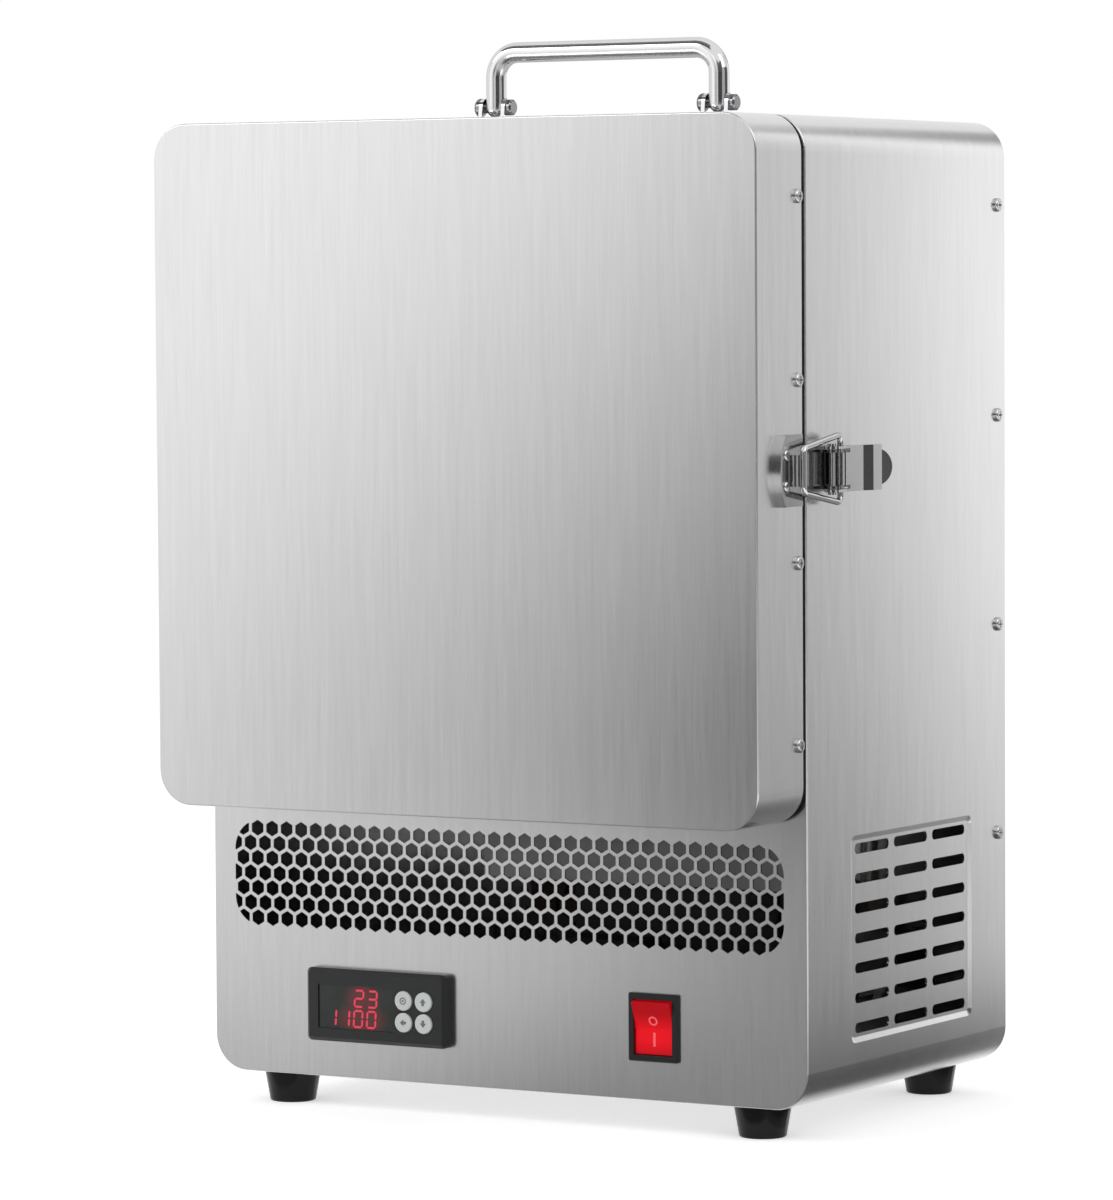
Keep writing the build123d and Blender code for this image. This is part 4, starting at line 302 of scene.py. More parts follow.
def circuitBoard(name):
    # green lacquer over a grid of tracks
    material, tree, shader = startMaterial(name)
    coords = objectCoords(tree, [boardLook["fine"]] * 3)
    tracks = addNode(tree, "ShaderNodeTexBrick", Vector=coords, Color1=boardLook["dark"],
                     Color2=boardLook["mid"], Mortar=boardLook["track"], Scale=1.0,
                     Mortar_Size=boardLook["trackW"])
    tree.links.new(tracks.outputs["Color"], shader.inputs["Base Color"])
    cloud = noiseValue(tree, coords, boardLook["clouds"])
    tree.links.new(spread(tree, cloud, *boardLook["roughness"]), shader.inputs["Roughness"])
    addBump(tree, shader, tracks.outputs["Fac"], boardLook["bump"], boardLook["bumpDepth"])
    return material


# a glow spot is its middle's x and z, then half its width and half its height
windowLook = {
    "tint": (0.012, 0.016, 0.013, 1),
    "vary": 0.5,
    "clouds": 90.0,
    "roughness": (0.10, 0.18),
    "glow": (0.75, 0.0, 0.035, 1),
    "glowStrength": 0.10,
    "glowSpots": ((-0.0740, 0.0536, 0.0085, 0.0075), (-0.0745, 0.0440, 0.0125, 0.0075)),
    "fade": (0.5, 1.35),
    "bump": 0.02,
    "bumpDepth": 0.00002,
}


def smokedWindow(name):
    # dark acrylic, faintly lit round the figures behind it
    material, tree, shader = startMaterial(name)
    place = tree.nodes.new("ShaderNodeTexCoord")
    cloud = noiseValue(tree, objectCoords(tree), windowLook["clouds"], 2.0)
    tint = windowLook["tint"]
    tree.links.new(blendColour(tree, spread(tree, cloud, 0.0, 1.0), tint,
                               scaled(tint, 1 + windowLook["vary"])),
                   shader.inputs["Base Color"])
    tree.links.new(spread(tree, cloud, *windowLook["roughness"]), shader.inputs["Roughness"])
    total = 0.0
    for x, z, halfW, halfH in windowLook["glowSpots"]:
        spot = addNode(tree, "ShaderNodeMapping", Vector=place.outputs["Object"],
                       Location=(-x / halfW, 0.0, -z / halfH), Scale=(1 / halfW, 0.0, 1 / halfH))
        length = tree.nodes.new("ShaderNodeVectorMath")
        length.operation = "LENGTH"
        tree.links.new(spot.outputs[0], length.inputs[0])
        fade = rangeNode(tree, length.outputs["Value"], *windowLook["fade"], 1.0, 0.0)
        total = mathNode(tree, "MAXIMUM", fade, total)
    shader.inputs["Emission Strength"].default_value = windowLook["glowStrength"]
    tree.links.new(blendColour(tree, total, grey(0.0), windowLook["glow"]),
                   shader.inputs["Emission Color"])
    addBump(tree, shader, cloud, windowLook["bump"], windowLook["bumpDepth"])
    return material


rockerLook = {
    "red": (0.46, 0.001, 0.006, 1),
    # painted shade: the darker red is the lens away from its lamp
    "shadedRed": (0.26, 0.001, 0.003, 1),
    "clouds": 260.0,
    "roughness": (0.16, 0.26),
    "gloss": 0.2,
    "glow": (1.0, 0.006, 0.016, 1),
    "dimGlow": (0.25, 0.0, 0.003, 1),
    "glowStrength": 0.45,
    "glowMiddle": 0.0445,
    "glowReach": (0.001, 0.0125),
    "glowLeast": 0.25,
    "bump": 0.03,
    "bumpDepth": 0.00003,
}


def litRed(name):
    # red translucent lens with a lamp behind its lower half
    material, tree, shader = startMaterial(name)
    place = tree.nodes.new("ShaderNodeTexCoord")
    parts = addNode(tree, "ShaderNodeSeparateXYZ", Vector=place.outputs["Object"])
    away = mathNode(tree, "ABSOLUTE", mathNode(tree, "SUBTRACT", parts.outputs["Z"],
                                               rockerLook["glowMiddle"]))
    fade = rangeNode(tree, away, *rockerLook["glowReach"], 1.0, rockerLook["glowLeast"])
    cloud = noiseValue(tree, place.outputs["Object"], rockerLook["clouds"], 2.0)
    # painted light and shade: the base colour is lighter near the lamp and darker away from it, by
    # the same fade as the glow
    tree.links.new(blendColour(tree, fade, rockerLook["shadedRed"], rockerLook["red"]),
                   shader.inputs["Base Color"])
    tree.links.new(spread(tree, cloud, *rockerLook["roughness"]), shader.inputs["Roughness"])
    tree.links.new(blendColour(tree, fade, rockerLook["dimGlow"], rockerLook["glow"]),
                   shader.inputs["Emission Color"])
    shader.inputs["Emission Strength"].default_value = rockerLook["glowStrength"]
    shader.inputs["Specular IOR Level"].default_value = rockerLook["gloss"]
    addBump(tree, shader, cloud, rockerLook["bump"], rockerLook["bumpDepth"])
    return material


wrapLook = dict(steelLook, fineAcross=560.0, broadAcross=190.0)
caseSteel = brushedSteel("brushedSteelWrap", "z", wrapLook)
panelSteel = brushedSteel("brushedSteelPanel", "z")
insideSteel = plainMetal("satinInnerSheet", (0.24, 0.243, 0.246), 0.42, 900.0)
screwSteel = plainMetal("brightScrewSteel", (0.62, 0.62, 0.63), 0.20, 1600.0, edge=0.5)
latchChrome = plainMetal("polishedLatch", (0.68, 0.68, 0.69), 0.10, 700.0,
                         vary=0.03, bump=0.02, edge=0.3)
# painted shade: the latch base is given a dark colour for the shade between the lever and the bail
latchPlate = plainMetal("shadedLatchBase", (0.30, 0.30, 0.31), 0.12, 700.0,
                        vary=0.05, bump=0.03, edge=0.2)
keeperPlate = plainMetal("polishedKeeper", (0.58, 0.58, 0.59), 0.14, 700.0,
                         vary=0.05, bump=0.03, edge=0.2)
handleChrome = plainMetal("polishedHandle", (0.70, 0.70, 0.71), 0.11, 500.0,
                          vary=0.03, bump=0.006, edge=0.8)
# painted shade: the handle pins are darkened for the shade inside the bracket ears
pinShade = plainMetal("shadedPin", (0.26, 0.26, 0.265), 0.16, 900.0,
                     vary=0.1, bump=0.04, edge=0.2)
hingeSteel = plainMetal("hingeSteel", (0.56, 0.56, 0.57), 0.28, 900.0)
brass = plainMetal("nickelBrass", (0.62, 0.45, 0.20), 0.30, 800.0)
probeSteel = plainMetal("heatTintedProbe", (0.42, 0.38, 0.35), 0.35, 300.0, vary=0.15)
heaterMetal = plainMetal("oxidisedHeater", (0.20, 0.18, 0.17), 0.60, 1500.0,
                         vary=0.25, bump=0.2)
sinkBlack = moulded("blackAnodisedSink", (0.012, 0.012, 0.013), 0.45, 1200.0,
                    vary=0.1, bump=0.06, gloss=0.2)
blackPlastic = moulded("blackPlastic", (0.014, 0.015, 0.016), 0.36, gloss=0.35)
bezelPlastic = moulded("satinBlackBezel", (0.020, 0.021, 0.022), 0.36, gloss=0.38)
relayPlastic = moulded("relayCase", (0.012, 0.013, 0.014), 0.45, gloss=0.25)
footRubber = moulded("glossyFootRubber", (0.005, 0.005, 0.006), 0.20, 900.0,
                     vary=0.15, bump=0.06, gloss=0.22)
sealRubber = moulded("sealRubber", (0.007, 0.007, 0.007), 0.65, 1800.0,
                     vary=0.15, bump=0.3, gloss=0.08)
buttonPlastic = moulded("paleButton", (0.62, 0.65, 0.64), 0.40, 1800.0, vary=0.04, bump=0.05)
whiteCeramic = moulded("whiteCeramic", (0.80, 0.78, 0.74), 0.35, 700.0, vary=0.03, bump=0.06)
blockCeramic = moulded("brownBlockCeramic", (0.09, 0.06, 0.045), 0.45, 700.0,
                       vary=0.06, bump=0.06)
blanketFibre = fibrous("blanketFibre", (0.86, 0.85, 0.82, 1), (0.66, 0.65, 0.62, 1), 420.0, 0.6)
boardFibre = fibrous("boardFibre", (0.84, 0.81, 0.74, 1), (0.68, 0.64, 0.57, 1), 700.0, 0.35)
hearthStone = fibrous("hearthStone", (0.62, 0.52, 0.42, 1), (0.44, 0.36, 0.29, 1), 900.0, 0.3)
leadSleeve = wovenSleeve("braidedLead")
greenBoard = circuitBoard("circuitBoard")
smoked = smokedWindow("smokedWindow")
redLens = litRed("litRedLens")

finishes = {
    caseSteel: ["case_wrapper"],
    panelSteel: ["front_panel", "door_shell", "back_panel"],
    insideSteel: ["bay_divider", "box_stands", "inner_box", "door_back_plate"],
    screwSteel: ["case_screws", "door_screws", "foot_screws", "hinge_screws", "hinge_door_screws",
                 "handle_screws", "bay_fasteners", "controller_clips"],
    latchChrome: ["latch_base_rivets", "latch_pin", "latch_lever", "latch_bail", "keeper_rivets"],
    latchPlate: ["latch_base"],
    keeperPlate: ["latch_keeper"],
    handleChrome: ["handle_rod", "handle_brackets"],
    pinShade: ["handle_pins"],
    hingeSteel: ["hinge_case_leaves", "hinge_door_leaves", "hinge_pins"],
    sinkBlack: ["heat_sink"],
    brass: ["element_terminals", "inlet_pins"],
    probeSteel: ["thermocouple"],
    heaterMetal: ["heating_elements"],
    blackPlastic: ["controller_housing", "rocker_housing", "fan_frame", "fan_rotor", "power_inlet"],
    bezelPlastic: ["controller_bezel"],
    relayPlastic: ["solid_state_relay"],
    footRubber: ["feet"],
    sealRubber: ["door_gasket"],
    buttonPlastic: ["set_button", "up_button", "shift_button", "down_button"],
    whiteCeramic: ["element_bushings"],
    blockCeramic: ["terminal_blocks"],
    blanketFibre: ["insulation_blanket", "door_insulation"],
    boardFibre: ["side_boards", "roof_and_floor_boards", "back_board", "door_plug"],
    hearthStone: ["hearth_plate"],
    leadSleeve: ["bay_leads"],
    greenBoard: ["controller_board"],
    smoked: ["display_window"],
    redLens: ["rocker_button"],
}
for material, names in finishes.items():
    for nodeName in names:
        shade(nodeName, material)
missing = set(nodes) - {n for names in finishes.values() for n in names}
print("finishes set:", len(finishes), "missing:", sorted(missing))


# mesh helpers

def meshPiece(name, mesh, material, body):
    obj = bpy.data.objects.new(name, mesh)
    bpy.context.scene.collection.objects.link(obj)
    mesh.materials.append(material)
    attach(obj, body)
    return obj


def prismFrom(bm, outline, origin, right, up, out, depth):
    # a flat outline of (a, b) points, raised by depth along out
    low = [bm.verts.new(origin + right * a + up * b) for a, b in outline]
    high = [bm.verts.new(origin + right * a + up * b + out * depth) for a, b in outline]
    count = len(outline)
    bm.faces.new(high)
    bm.faces.new(list(reversed(low)))
    for i in range(count):
        j = (i + 1) % count
        bm.faces.new((low[i], low[j], high[j], high[i]))


def finishMesh(bm, name):
    bmesh.ops.recalc_face_normals(bm, faces=bm.faces)
    mesh = bpy.data.meshes.new(name)
    bm.to_mesh(mesh)
    bm.free()
    return mesh


litLook = {"base": (0.25, 0.0, 0.01, 1), "clouds": 1500.0, "vary": 0.2, "roughness": (0.3, 0.5)}


def emissive(name, colour, strength):
    # red marks that shine a little unevenly
    material, tree, shader = startMaterial(name)
    cloud = noiseValue(tree, objectCoords(tree), litLook["clouds"], 2.0)
    tree.links.new(blendColour(tree, spread(tree, cloud, 0.0, 1.0),
                               scaled(colour, 1 - litLook["vary"]), colour),
                   shader.inputs["Emission Color"])
    tree.links.new(spread(tree, cloud, *litLook["roughness"]), shader.inputs["Roughness"])
    shader.inputs["Base Color"].default_value = litLook["base"]
    shader.inputs["Emission Strength"].default_value = strength
    return material


# lit figures in the display

# each row is its height and its digits, each with its middle's x
figureLook = {
    "colour": (0.62, 0.045, 0.085, 1),
    "strength": 1.0,
    "cellW": 0.0046,
    "cellH": 0.0076,
    "stroke": 0.0010,
    "apart": 0.3,
    "slant": 0.07,
    "proud": 0.00008,
    "rows": ((0.0536, ((-0.0756, "2"), (-0.0682, "3"))),
             (0.0440, ((-0.0908, "1"), (-0.0835, "1"), (-0.0762, "0"), (-0.0689, "0")))),
}
segments = {"0": "abcdef", "1": "bc", "2": "abged", "3": "abgcd"}


def segmentOutline(x0, z0, x1, z1, half):
    # a bar between two points, pointed at both ends and a little short of them
    along = Vector((x1 - x0, z1 - z0)).normalized()
    side = Vector((-along.y, along.x)) * half
    a = Vector((x0, z0)) + along * half * figureLook["apart"]
    b = Vector((x1, z1)) - along * half * figureLook["apart"]
    points = [a, a + along * half - side, b - along * half - side, b,
              b - along * half + side, a + along * half + side]
    return [(p.x, p.y) for p in points]


def figureMesh():
    bm = bmesh.new()
    w, h, half = figureLook["cellW"] / 2, figureLook["cellH"] / 2, figureLook["stroke"] / 2
    ends = {"a": (-w, h, w, h), "g": (-w, 0, w, 0), "d": (-w, -h, w, -h), "b": (w, h, w, 0),
            "c": (w, 0, w, -h), "f": (-w, h, -w, 0), "e": (-w, 0, -w, -h)}
    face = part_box("display_window")[0].y
    for z, cells in figureLook["rows"]:
        for x, digit in cells:
            for letter in segments[digit]:
                outline = segmentOutline(*ends[letter], half)
                outline = [(a + b * figureLook["slant"], b) for a, b in outline]
                prismFrom(bm, outline, Vector((x, face, z)), Vector((1, 0, 0)),
                          Vector((0, 0, 1)), Vector((0, -1, 0)), figureLook["proud"])
    return finishMesh(bm, "displayFigures")


figureRed = emissive("figureRed", figureLook["colour"], figureLook["strength"])
meshPiece("displayFigures", figureMesh(), figureRed, "case")
print("display figures made")


# marks on the four buttons

# barb and stem are shares of an arrow's size: its head's foot and half its stem's width
iconLook = {"ink": (0.16, 0.17, 0.17), "size": 0.0017, "proud": 0.00006, "ring": 0.0005,
            "dotSides": 16, "barb": 0.2, "stem": 0.4}
iconInk = moulded("buttonInk", iconLook["ink"], 0.5, vary=0.1, bump=0.05)
ringSides = 28


def ringOutline(radius, sides=ringSides):
    return [(radius * math.cos(i * math.tau / sides), radius * math.sin(i * math.tau / sides))
            for i in range(sides)]


def ringMesh(bm, outer, inner, origin, right, up, out, depth):
    # a flat ring, raised by depth along out
    rings = []
    for radius, lift in ((outer, 0), (outer, depth), (inner, depth), (inner, 0)):
        rings.append([bm.verts.new(origin + right * a + up * b + out * lift)
                      for a, b in ringOutline(radius)])
    for first, second in zip(rings, rings[1:] + rings[:1]):
        for i in range(ringSides):
            j = (i + 1) % ringSides
            bm.faces.new((first[i], first[j], second[j], second[i]))


def buttonIcon(nodeName):
    low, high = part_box(nodeName)
    origin = Vector(((low.x + high.x) / 2, low.y, (low.z + high.z) / 2))
    axes = (Vector((1, 0, 0)), Vector((0, 0, 1)), Vector((0, -1, 0)))
    size = iconLook["size"]
    bm = bmesh.new()
    if nodeName == "set_button":
        ringMesh(bm, size, size - iconLook["ring"], origin, *axes, iconLook["proud"])
        prismFrom(bm, ringOutline(iconLook["ring"], iconLook["dotSides"]), origin, *axes,
                  iconLook["proud"])
    else:
        turn = {"up_button": 0.0, "shift_button": 90.0, "down_button": 180.0}[nodeName]
        c, s = math.cos(math.radians(turn)), math.sin(math.radians(turn))
        foot, stem = -size * iconLook["barb"], size * iconLook["stem"]
        arrow = [(0, size), (-size, foot), (-stem, foot), (-stem, -size), (stem, -size),
                 (stem, foot), (size, foot)]
        prismFrom(bm, [(a * c - b * s, a * s + b * c) for a, b in arrow], origin, *axes,
                  iconLook["proud"])
    mesh = finishMesh(bm, nodeName + "Icon")
    meshPiece(nodeName + "Icon", mesh, iconInk, nodeName)


for nodeName in ("set_button", "up_button", "shift_button", "down_button"):
    buttonIcon(nodeName)
print("button marks made")


# O and I on the rocker

# pivot is y and z; the two halves slope by pitch from the crest, and the whole is tilted at rest
markLook = {
    "colour": (1.0, 0.17, 0.19, 1),
    "strength": 0.75,
    "proud": 0.00006,
    "pivot": (-0.099, 0.0488),
    "tilt": 10.0,
    "pitch": 10.0,
    "crest": 0.0012,
    "ringR": 0.0023,
    "ringW": 0.0008,
    "ringAt": 0.0035,
    "barW": 0.0012,
    "barFrom": 0.0022,
    "barTo": 0.0085,
}
rockerInk = emissive("rockerInk", markLook["colour"], markLook["strength"])


def rockerMarks():
    low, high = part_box("rocker_button")
    turn = Matrix.Rotation(math.radians(markLook["tilt"]), 3, "X")
    pivot = Vector(((low.x + high.x) / 2, *markLook["pivot"]))
    crest = pivot + turn @ Vector((0, -markLook["crest"], 0))
    right = Vector((1, 0, 0))
    slope = math.radians(markLook["pitch"])
    c, s = math.cos(slope), math.sin(slope)
    bm = bmesh.new()
    up, out = turn @ Vector((0, -s, c)), turn @ Vector((0, -c, -s))
    ringMesh(bm, markLook["ringR"], markLook["ringR"] - markLook["ringW"],
             crest + up * markLook["ringAt"], right, up, out, markLook["proud"])
    up, out = turn @ Vector((0, s, c)), turn @ Vector((0, -c, s))
    w, near, far = markLook["barW"] / 2, -markLook["barFrom"], -markLook["barTo"]
    prismFrom(bm, [(-w, far), (w, far), (w, near), (-w, near)], crest, right, up, out,
              markLook["proud"])
    return finishMesh(bm, "rockerMarks")


meshPiece("rockerMarks", rockerMarks(), rockerInk, "rocker")
print("rocker marks made")


# wound heating coils in the grooves

# radius is that of the rods they stand in for, and backY is where the inner rows turn;
# offAxis is any direction that the wire never follows
coilLook = {
    "wire": 0.0008,
    "radius": 0.004,
    "pitch": 0.0042,
    "rows": 6,
    "backY": 0.031,
    "turnSteps": 10,
    "sideSteps": 6,
    "bendSteps": 24,
    "lineStep": 0.0015,
    "offAxis": (0.31, 0.87, 0.39),
}


def coilPath(side):
    # the element's middle line, as points a small step apart
    low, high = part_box("heating_elements")
    radius, lastRow = coilLook["radius"], coilLook["rows"] - 1
    x = (high.x - radius) * side
    rowStep = (high.z - low.z - 2 * radius) / lastRow
    bend = rowStep / 2
    front = low.y + radius + bend
    back = coilLook["backY"] - bend
    points = []
    for row in range(coilLook["rows"]):
        z = low.z + radius + row * rowStep
        span = [(front, z), (high.y if row in (0, lastRow) else back, z)]
        if row % 2 == 0:
            span.reverse()
        points += sampleLine(*span)
        if row < lastRow:
            centreY, way = (front, -1) if row % 2 == 0 else (back, 1)
            for i in range(1, coilLook["bendSteps"]):
                a = math.pi * i / coilLook["bendSteps"]
                points.append((centreY + way * bend * math.sin(a), z + bend - bend * math.cos(a)))
    return [Vector((x, y, z)) for y, z in points]


def sampleLine(a, b):
    count = max(2, int(math.dist(a, b) / coilLook["lineStep"]))
    return [(a[0] + (b[0] - a[0]) * i / count, a[1] + (b[1] - a[1]) * i / count)
            for i in range(count + 1)]


def evenPoints(points, step):
    # the same line as points a fixed step apart
    out = [points[0]]
    carry = 0.0
    for a, b in zip(points, points[1:]):
        length = (b - a).length
        if length < 1e-9:
            continue
        at = step - carry
        while at <= length:
            out.append(a.lerp(b, at / length))
            at += step
        carry = length - (at - step)
    return out


def coilMesh(side):
    # a wire wound round the element's middle line
    radius = coilLook["radius"] - coilLook["wire"] / 2
    step = coilLook["pitch"] / coilLook["turnSteps"]
    line = evenPoints(coilPath(side), step)
    normal = Vector((1, 0, 0))
    centres = []
    for i, point in enumerate(line):
        ahead = line[min(i + 1, len(line) - 1)] - line[max(i - 1, 0)]
        other = ahead.normalized().cross(normal).normalized()
        angle = i * math.tau / coilLook["turnSteps"]
        centres.append(point + normal * radius * math.cos(angle) + other * radius * math.sin(angle))
    bm = bmesh.new()
    rings = []
    sides = coilLook["sideSteps"]
    for i, centre in enumerate(centres):
        along = (centres[min(i + 1, len(centres) - 1)] - centres[max(i - 1, 0)]).normalized()
        first = along.cross(Vector(coilLook["offAxis"])).normalized()
        second = along.cross(first)
        rings.append([bm.verts.new(centre + (first * math.cos(k * math.tau / sides)
                                             + second * math.sin(k * math.tau / sides))
                                   * coilLook["wire"] / 2) for k in range(sides)])
    for a, b in zip(rings, rings[1:]):
        for k in range(sides):
            m = (k + 1) % sides
            bm.faces.new((a[k], a[m], b[m], b[k]))
    bm.faces.new(rings[0])
    bm.faces.new(list(reversed(rings[-1])))
    for face in bm.faces:
        face.smooth = True
    return finishMesh(bm, "heatingCoil")


for side, label in ((-1, "Left"), (1, "Right")):
    coil = meshPiece("heatingCoil" + label, coilMesh(side), heaterMetal, "case")
    if side > 0:
        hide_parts("heating_elements")
print("heating coils wound")


# camera

# yaw and pitch in degrees, roll in radians, lens and sensor in millimetres
cameraLook = {
    "place": (1.400993, -2.413550, 0.387756),
    "yaw": 30.6492,
    "pitch": -3.08375,
    "roll": -0.0058469,
    "lens": 176.179,
    "sensor": 36.0,
    "clip": (0.05, 60.0),
}


def placeCamera():
    data = bpy.data.cameras.new("kilnCamera")
    data.lens = cameraLook["lens"]
    data.sensor_width = cameraLook["sensor"]
    data.clip_start, data.clip_end = cameraLook["clip"]
    camera = bpy.data.objects.new("kilnCamera", data)
    bpy.context.scene.collection.objects.link(camera)
    yaw, pitch = math.radians(cameraLook["yaw"]), math.radians(cameraLook["pitch"])
    ahead = Vector((-math.sin(yaw) * math.cos(pitch), math.cos(yaw) * math.cos(pitch),
                    math.sin(pitch)))
    level = Vector((math.cos(yaw), math.sin(yaw), 0))
    upward = level.cross(ahead)
    c, s = math.cos(cameraLook["roll"]), math.sin(cameraLook["roll"])
    right = level * c + upward * s
    top = upward * c - level * s
    turn = Matrix((right, top, -ahead)).transposed().to_4x4()
    camera.matrix_world = Matrix.Translation(Vector(cameraLook["place"])) @ turn
    bpy.context.scene.camera = camera


placeCamera()
print("camera placed")


# studio: floor, world, lamps and the cards that steel mirrors

studioLook = {
    "worldLevel": 0.72,
    "floorGrey": 0.84,
    "floorGlow": 0.45,
    "floorRoughness": 0.9,
    "floorHalf": 8.0,
    "lampAim": (0.0, 0.0, 0.25),
    "lamps": (
        {"name": "keyBox", "at": (-1.5, -1.6, 1.7), "size": (1.6, 1.2), "power": 16.0},
        {"name": "sideBox", "at": (1.9, -0.2, 1.5), "size": (1.0, 1.4), "power": 8.0},
    ),
}

# each card has its middle, the two world axes it lies along, its size, and one to three ramps
# whose levels multiply; a ramp is how much each axis counts, where the sum starts and ends,
# and the level at its start and end; rise adds a level along the first axis: start, end, level
cardLook = {
    "doorCard": {"at": (-0.53, -1.145, 0.50), "axes": ("x", "z"), "size": (1.9, 0.99),
                 "ramps": ((1.085, -1.111, -0.234, 0.834, 1.27, 0.06),
                           (1.0, -1.0, 0.42, 0.62, 1.0, 0.1)),
                 "rise": (0.36, 0.70, 0.78)},
    "sideCard": {"at": (0.50, 0.66, 0.47), "axes": ("y", "z"), "size": (0.62, 0.93),
                 "ramps": ((1.0, 0.0, -0.20, 0.18, 0.62, 1.54),
                           (0.6, 1.0, -0.70, -0.02, 0.18, 1.02))},
    "frontFloorCard": {"at": (-0.35, -0.62, 0.002), "axes": ("x", "y"), "size": (1.5, 1.03),
                       "ramps": ((-0.7, -1.0, -0.72, 0.40, 0.62, 0.90),
                                 (1.0, -0.3, 0.02, 0.24, 1.0, 0.50),
                                 (1.0, -1.0, 0.36, 0.54, 1.0, 0.05))},
    "sideFloorCard": {"at": (0.343, 0.35, 0.002), "axes": ("x", "y"), "size": (0.396, 1.0),
                      "ramps": ((-1.69, 1.0, -0.05, 0.20, 0.34, 1.0),
                                (1.0, 0.0, -0.15, 0.10, 0.35, 1.0)),
                      "rise": (-0.181, -0.195, 0.48)},
    "rightCard": {"at": (1.55, 0.30, 0.45), "axes": ("y", "z"), "size": (2.1, 0.88),
                  "ramps": ((1.0, 0.0, -0.30, 0.0, 0.50, 0.08),)},
    "cornerCard": {"at": (1.90, -1.75, 0.85), "axes": ("y", "z"), "size": (2.0, 1.66),
                   "ramps": ((0.0, 1.0, -0.8, 0.8, 0.05, 0.15),)},
    "cameraCard": {"at": (1.10, -2.75, 0.90), "axes": ("x", "z"), "size": (1.6, 1.7),
                   "ramps": ((0.0, 1.0, -0.8, 0.8, 0.05, 0.15),)},
    "ceilingCard": {"at": (-0.55, -0.56, 1.40), "axes": ("x", "y"), "size": (1.6, 0.80),
                    "ramps": ((0.0, 1.0, -0.30, 0.30, 0.06, 0.24),)},
    "topCard": {"at": (0.36, 1.50, 1.09), "axes": ("x", "z"), "size": (0.46, 0.50),
                "ramps": ((0.0, 1.0, -0.25, 0.25, 0.10, 0.60),)},
}


def makeWorld():
    world = bpy.data.worlds.new("studioWorld")
    bpy.context.scene.world = world
    world.use_nodes = True
    tree = world.node_tree
    plain = tree.nodes["Background"]
    plain.inputs["Color"].default_value = (1, 1, 1, 1)
    plain.inputs["Strength"].default_value = studioLook["worldLevel"]
    seen = tree.nodes.new("ShaderNodeBackground")
    seen.inputs["Color"].default_value = (1, 1, 1, 1)
    seen.inputs["Strength"].default_value = 1.0
    tree.links.new(seenByEye(tree), mixInto(tree, plain, seen).inputs[0])


def seenByEye(tree):
    # 1 for rays that show the background: straight, mirrored or through glass
    path = tree.nodes.new("ShaderNodeLightPath")
    either = mathNode(tree, "MAXIMUM", path.outputs["Is Camera Ray"], path.outputs["Is Glossy Ray"])
    return mathNode(tree, "MAXIMUM", either, path.outputs["Is Transmission Ray"])


def mixInto(tree, first, second):
    mix = tree.nodes.new("ShaderNodeMixShader")
    tree.links.new(first.outputs[0], mix.inputs[1])
    tree.links.new(second.outputs[0], mix.inputs[2])
    output = [n for n in tree.nodes if n.type in ("OUTPUT_WORLD", "OUTPUT_MATERIAL")][0]
    tree.links.new(mix.outputs[0], output.inputs["Surface"])
    return mix


def makeFloor():
    bm = bmesh.new()
    bmesh.ops.create_grid(bm, x_segments=8, y_segments=8, size=studioLook["floorHalf"])
    mesh = finishMesh(bm, "studioFloor")
    floor = bpy.data.objects.new("studioFloor", mesh)
    bpy.context.scene.collection.objects.link(floor)
    material, tree, shader = startMaterial("paleFloor")
    shader.inputs["Base Color"].default_value = grey(studioLook["floorGrey"])
    shader.inputs["Roughness"].default_value = studioLook["floorRoughness"]
    shader.inputs["Specular IOR Level"].default_value = 0.0
    glow = mathNode(tree, "MULTIPLY", seenByEye(tree), studioLook["floorGlow"])
    tree.links.new(glow, shader.inputs["Emission Strength"])
    shader.inputs["Emission Color"].default_value = (1, 1, 1, 1)
    mesh.materials.append(material)


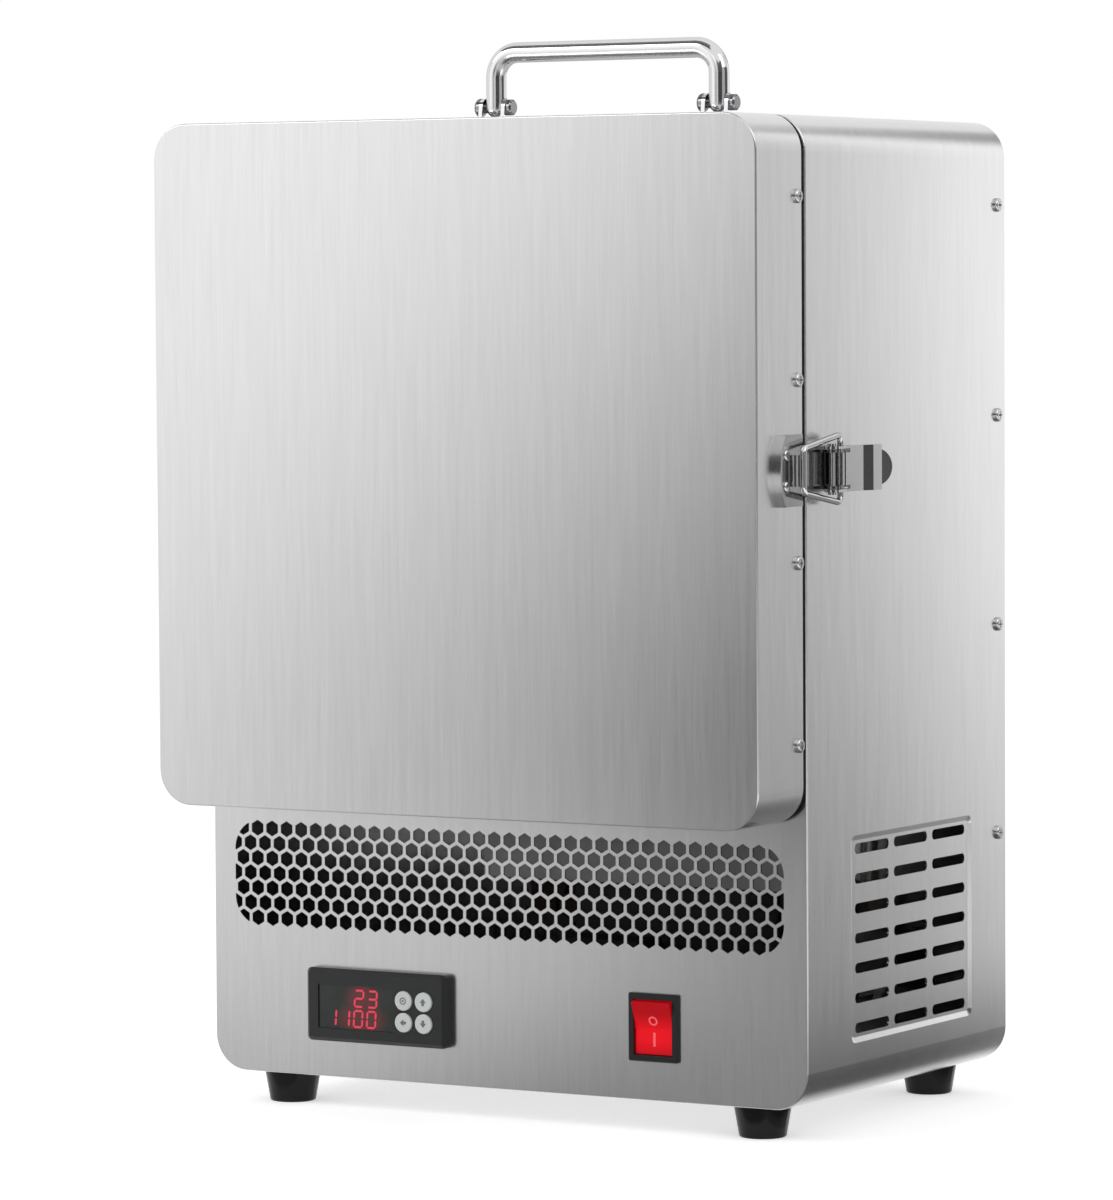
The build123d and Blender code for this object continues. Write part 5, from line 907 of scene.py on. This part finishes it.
def makeLamps():
    for lamp in studioLook["lamps"]:
        data = bpy.data.lights.new(lamp["name"], "AREA")
        data.shape = "RECTANGLE"
        data.size, data.size_y = lamp["size"]
        data.energy = lamp["power"]
        obj = bpy.data.objects.new(lamp["name"], data)
        bpy.context.scene.collection.objects.link(obj)
        obj.location = lamp["at"]
        obj.rotation_mode = "QUATERNION"
        aim = Vector(studioLook["lampAim"]) - obj.location
        obj.rotation_quaternion = aim.to_track_quat("-Z", "Y")
        obj.visible_camera = False


def cardMaterial(name, ramps, rise):
    # light that fades across the card, in the card's own coordinates
    material, tree, shader = startMaterial(name)
    place = tree.nodes.new("ShaderNodeTexCoord")
    parts = addNode(tree, "ShaderNodeSeparateXYZ", Vector=place.outputs["Object"])
    level = 1.0
    for across, upward, start, end, first, last in ramps:
        along = mathNode(tree, "ADD", mathNode(tree, "MULTIPLY", parts.outputs["X"], across),
                         mathNode(tree, "MULTIPLY", parts.outputs["Y"], upward))
        level = mathNode(tree, "MULTIPLY", rangeNode(tree, along, start, end, first, last), level)
    if rise:
        start, end, added = rise
        lift = rangeNode(tree, parts.outputs["X"], start, end, 0.0, added)
        level = mathNode(tree, "ADD", level, lift)
    glow = addNode(tree, "ShaderNodeEmission", Strength=level)
    tree.links.new(glow.outputs[0], tree.nodes["Material Output"].inputs["Surface"])
    return material


def makeCards():
    # only mirrored rays meet the cards: they throw no light or shadow on the kiln
    for name, look in cardLook.items():
        width, height = look["size"]
        bm = bmesh.new()
        corners = [(-1, -1), (1, -1), (1, 1), (-1, 1)]
        bm.faces.new([bm.verts.new((a * width / 2, b * height / 2, 0)) for a, b in corners])
        mesh = finishMesh(bm, name)
        mesh.materials.append(cardMaterial(name, look["ramps"], look.get("rise")))
        card = bpy.data.objects.new(name, mesh)
        bpy.context.scene.collection.objects.link(card)
        unit = {"x": Vector((1, 0, 0)), "y": Vector((0, 1, 0)), "z": Vector((0, 0, 1))}
        right, up = (unit[axis] for axis in look["axes"])
        turn = Matrix((right, up, right.cross(up))).transposed().to_4x4()
        card.matrix_world = Matrix.Translation(Vector(look["at"])) @ turn
        card.visible_camera = card.visible_diffuse = card.visible_shadow = False
        card.visible_transmission = card.visible_volume_scatter = False


makeWorld()
makeFloor()
makeLamps()
makeCards()
bpy.context.scene.view_settings.view_transform = "Standard"
print("studio ready")
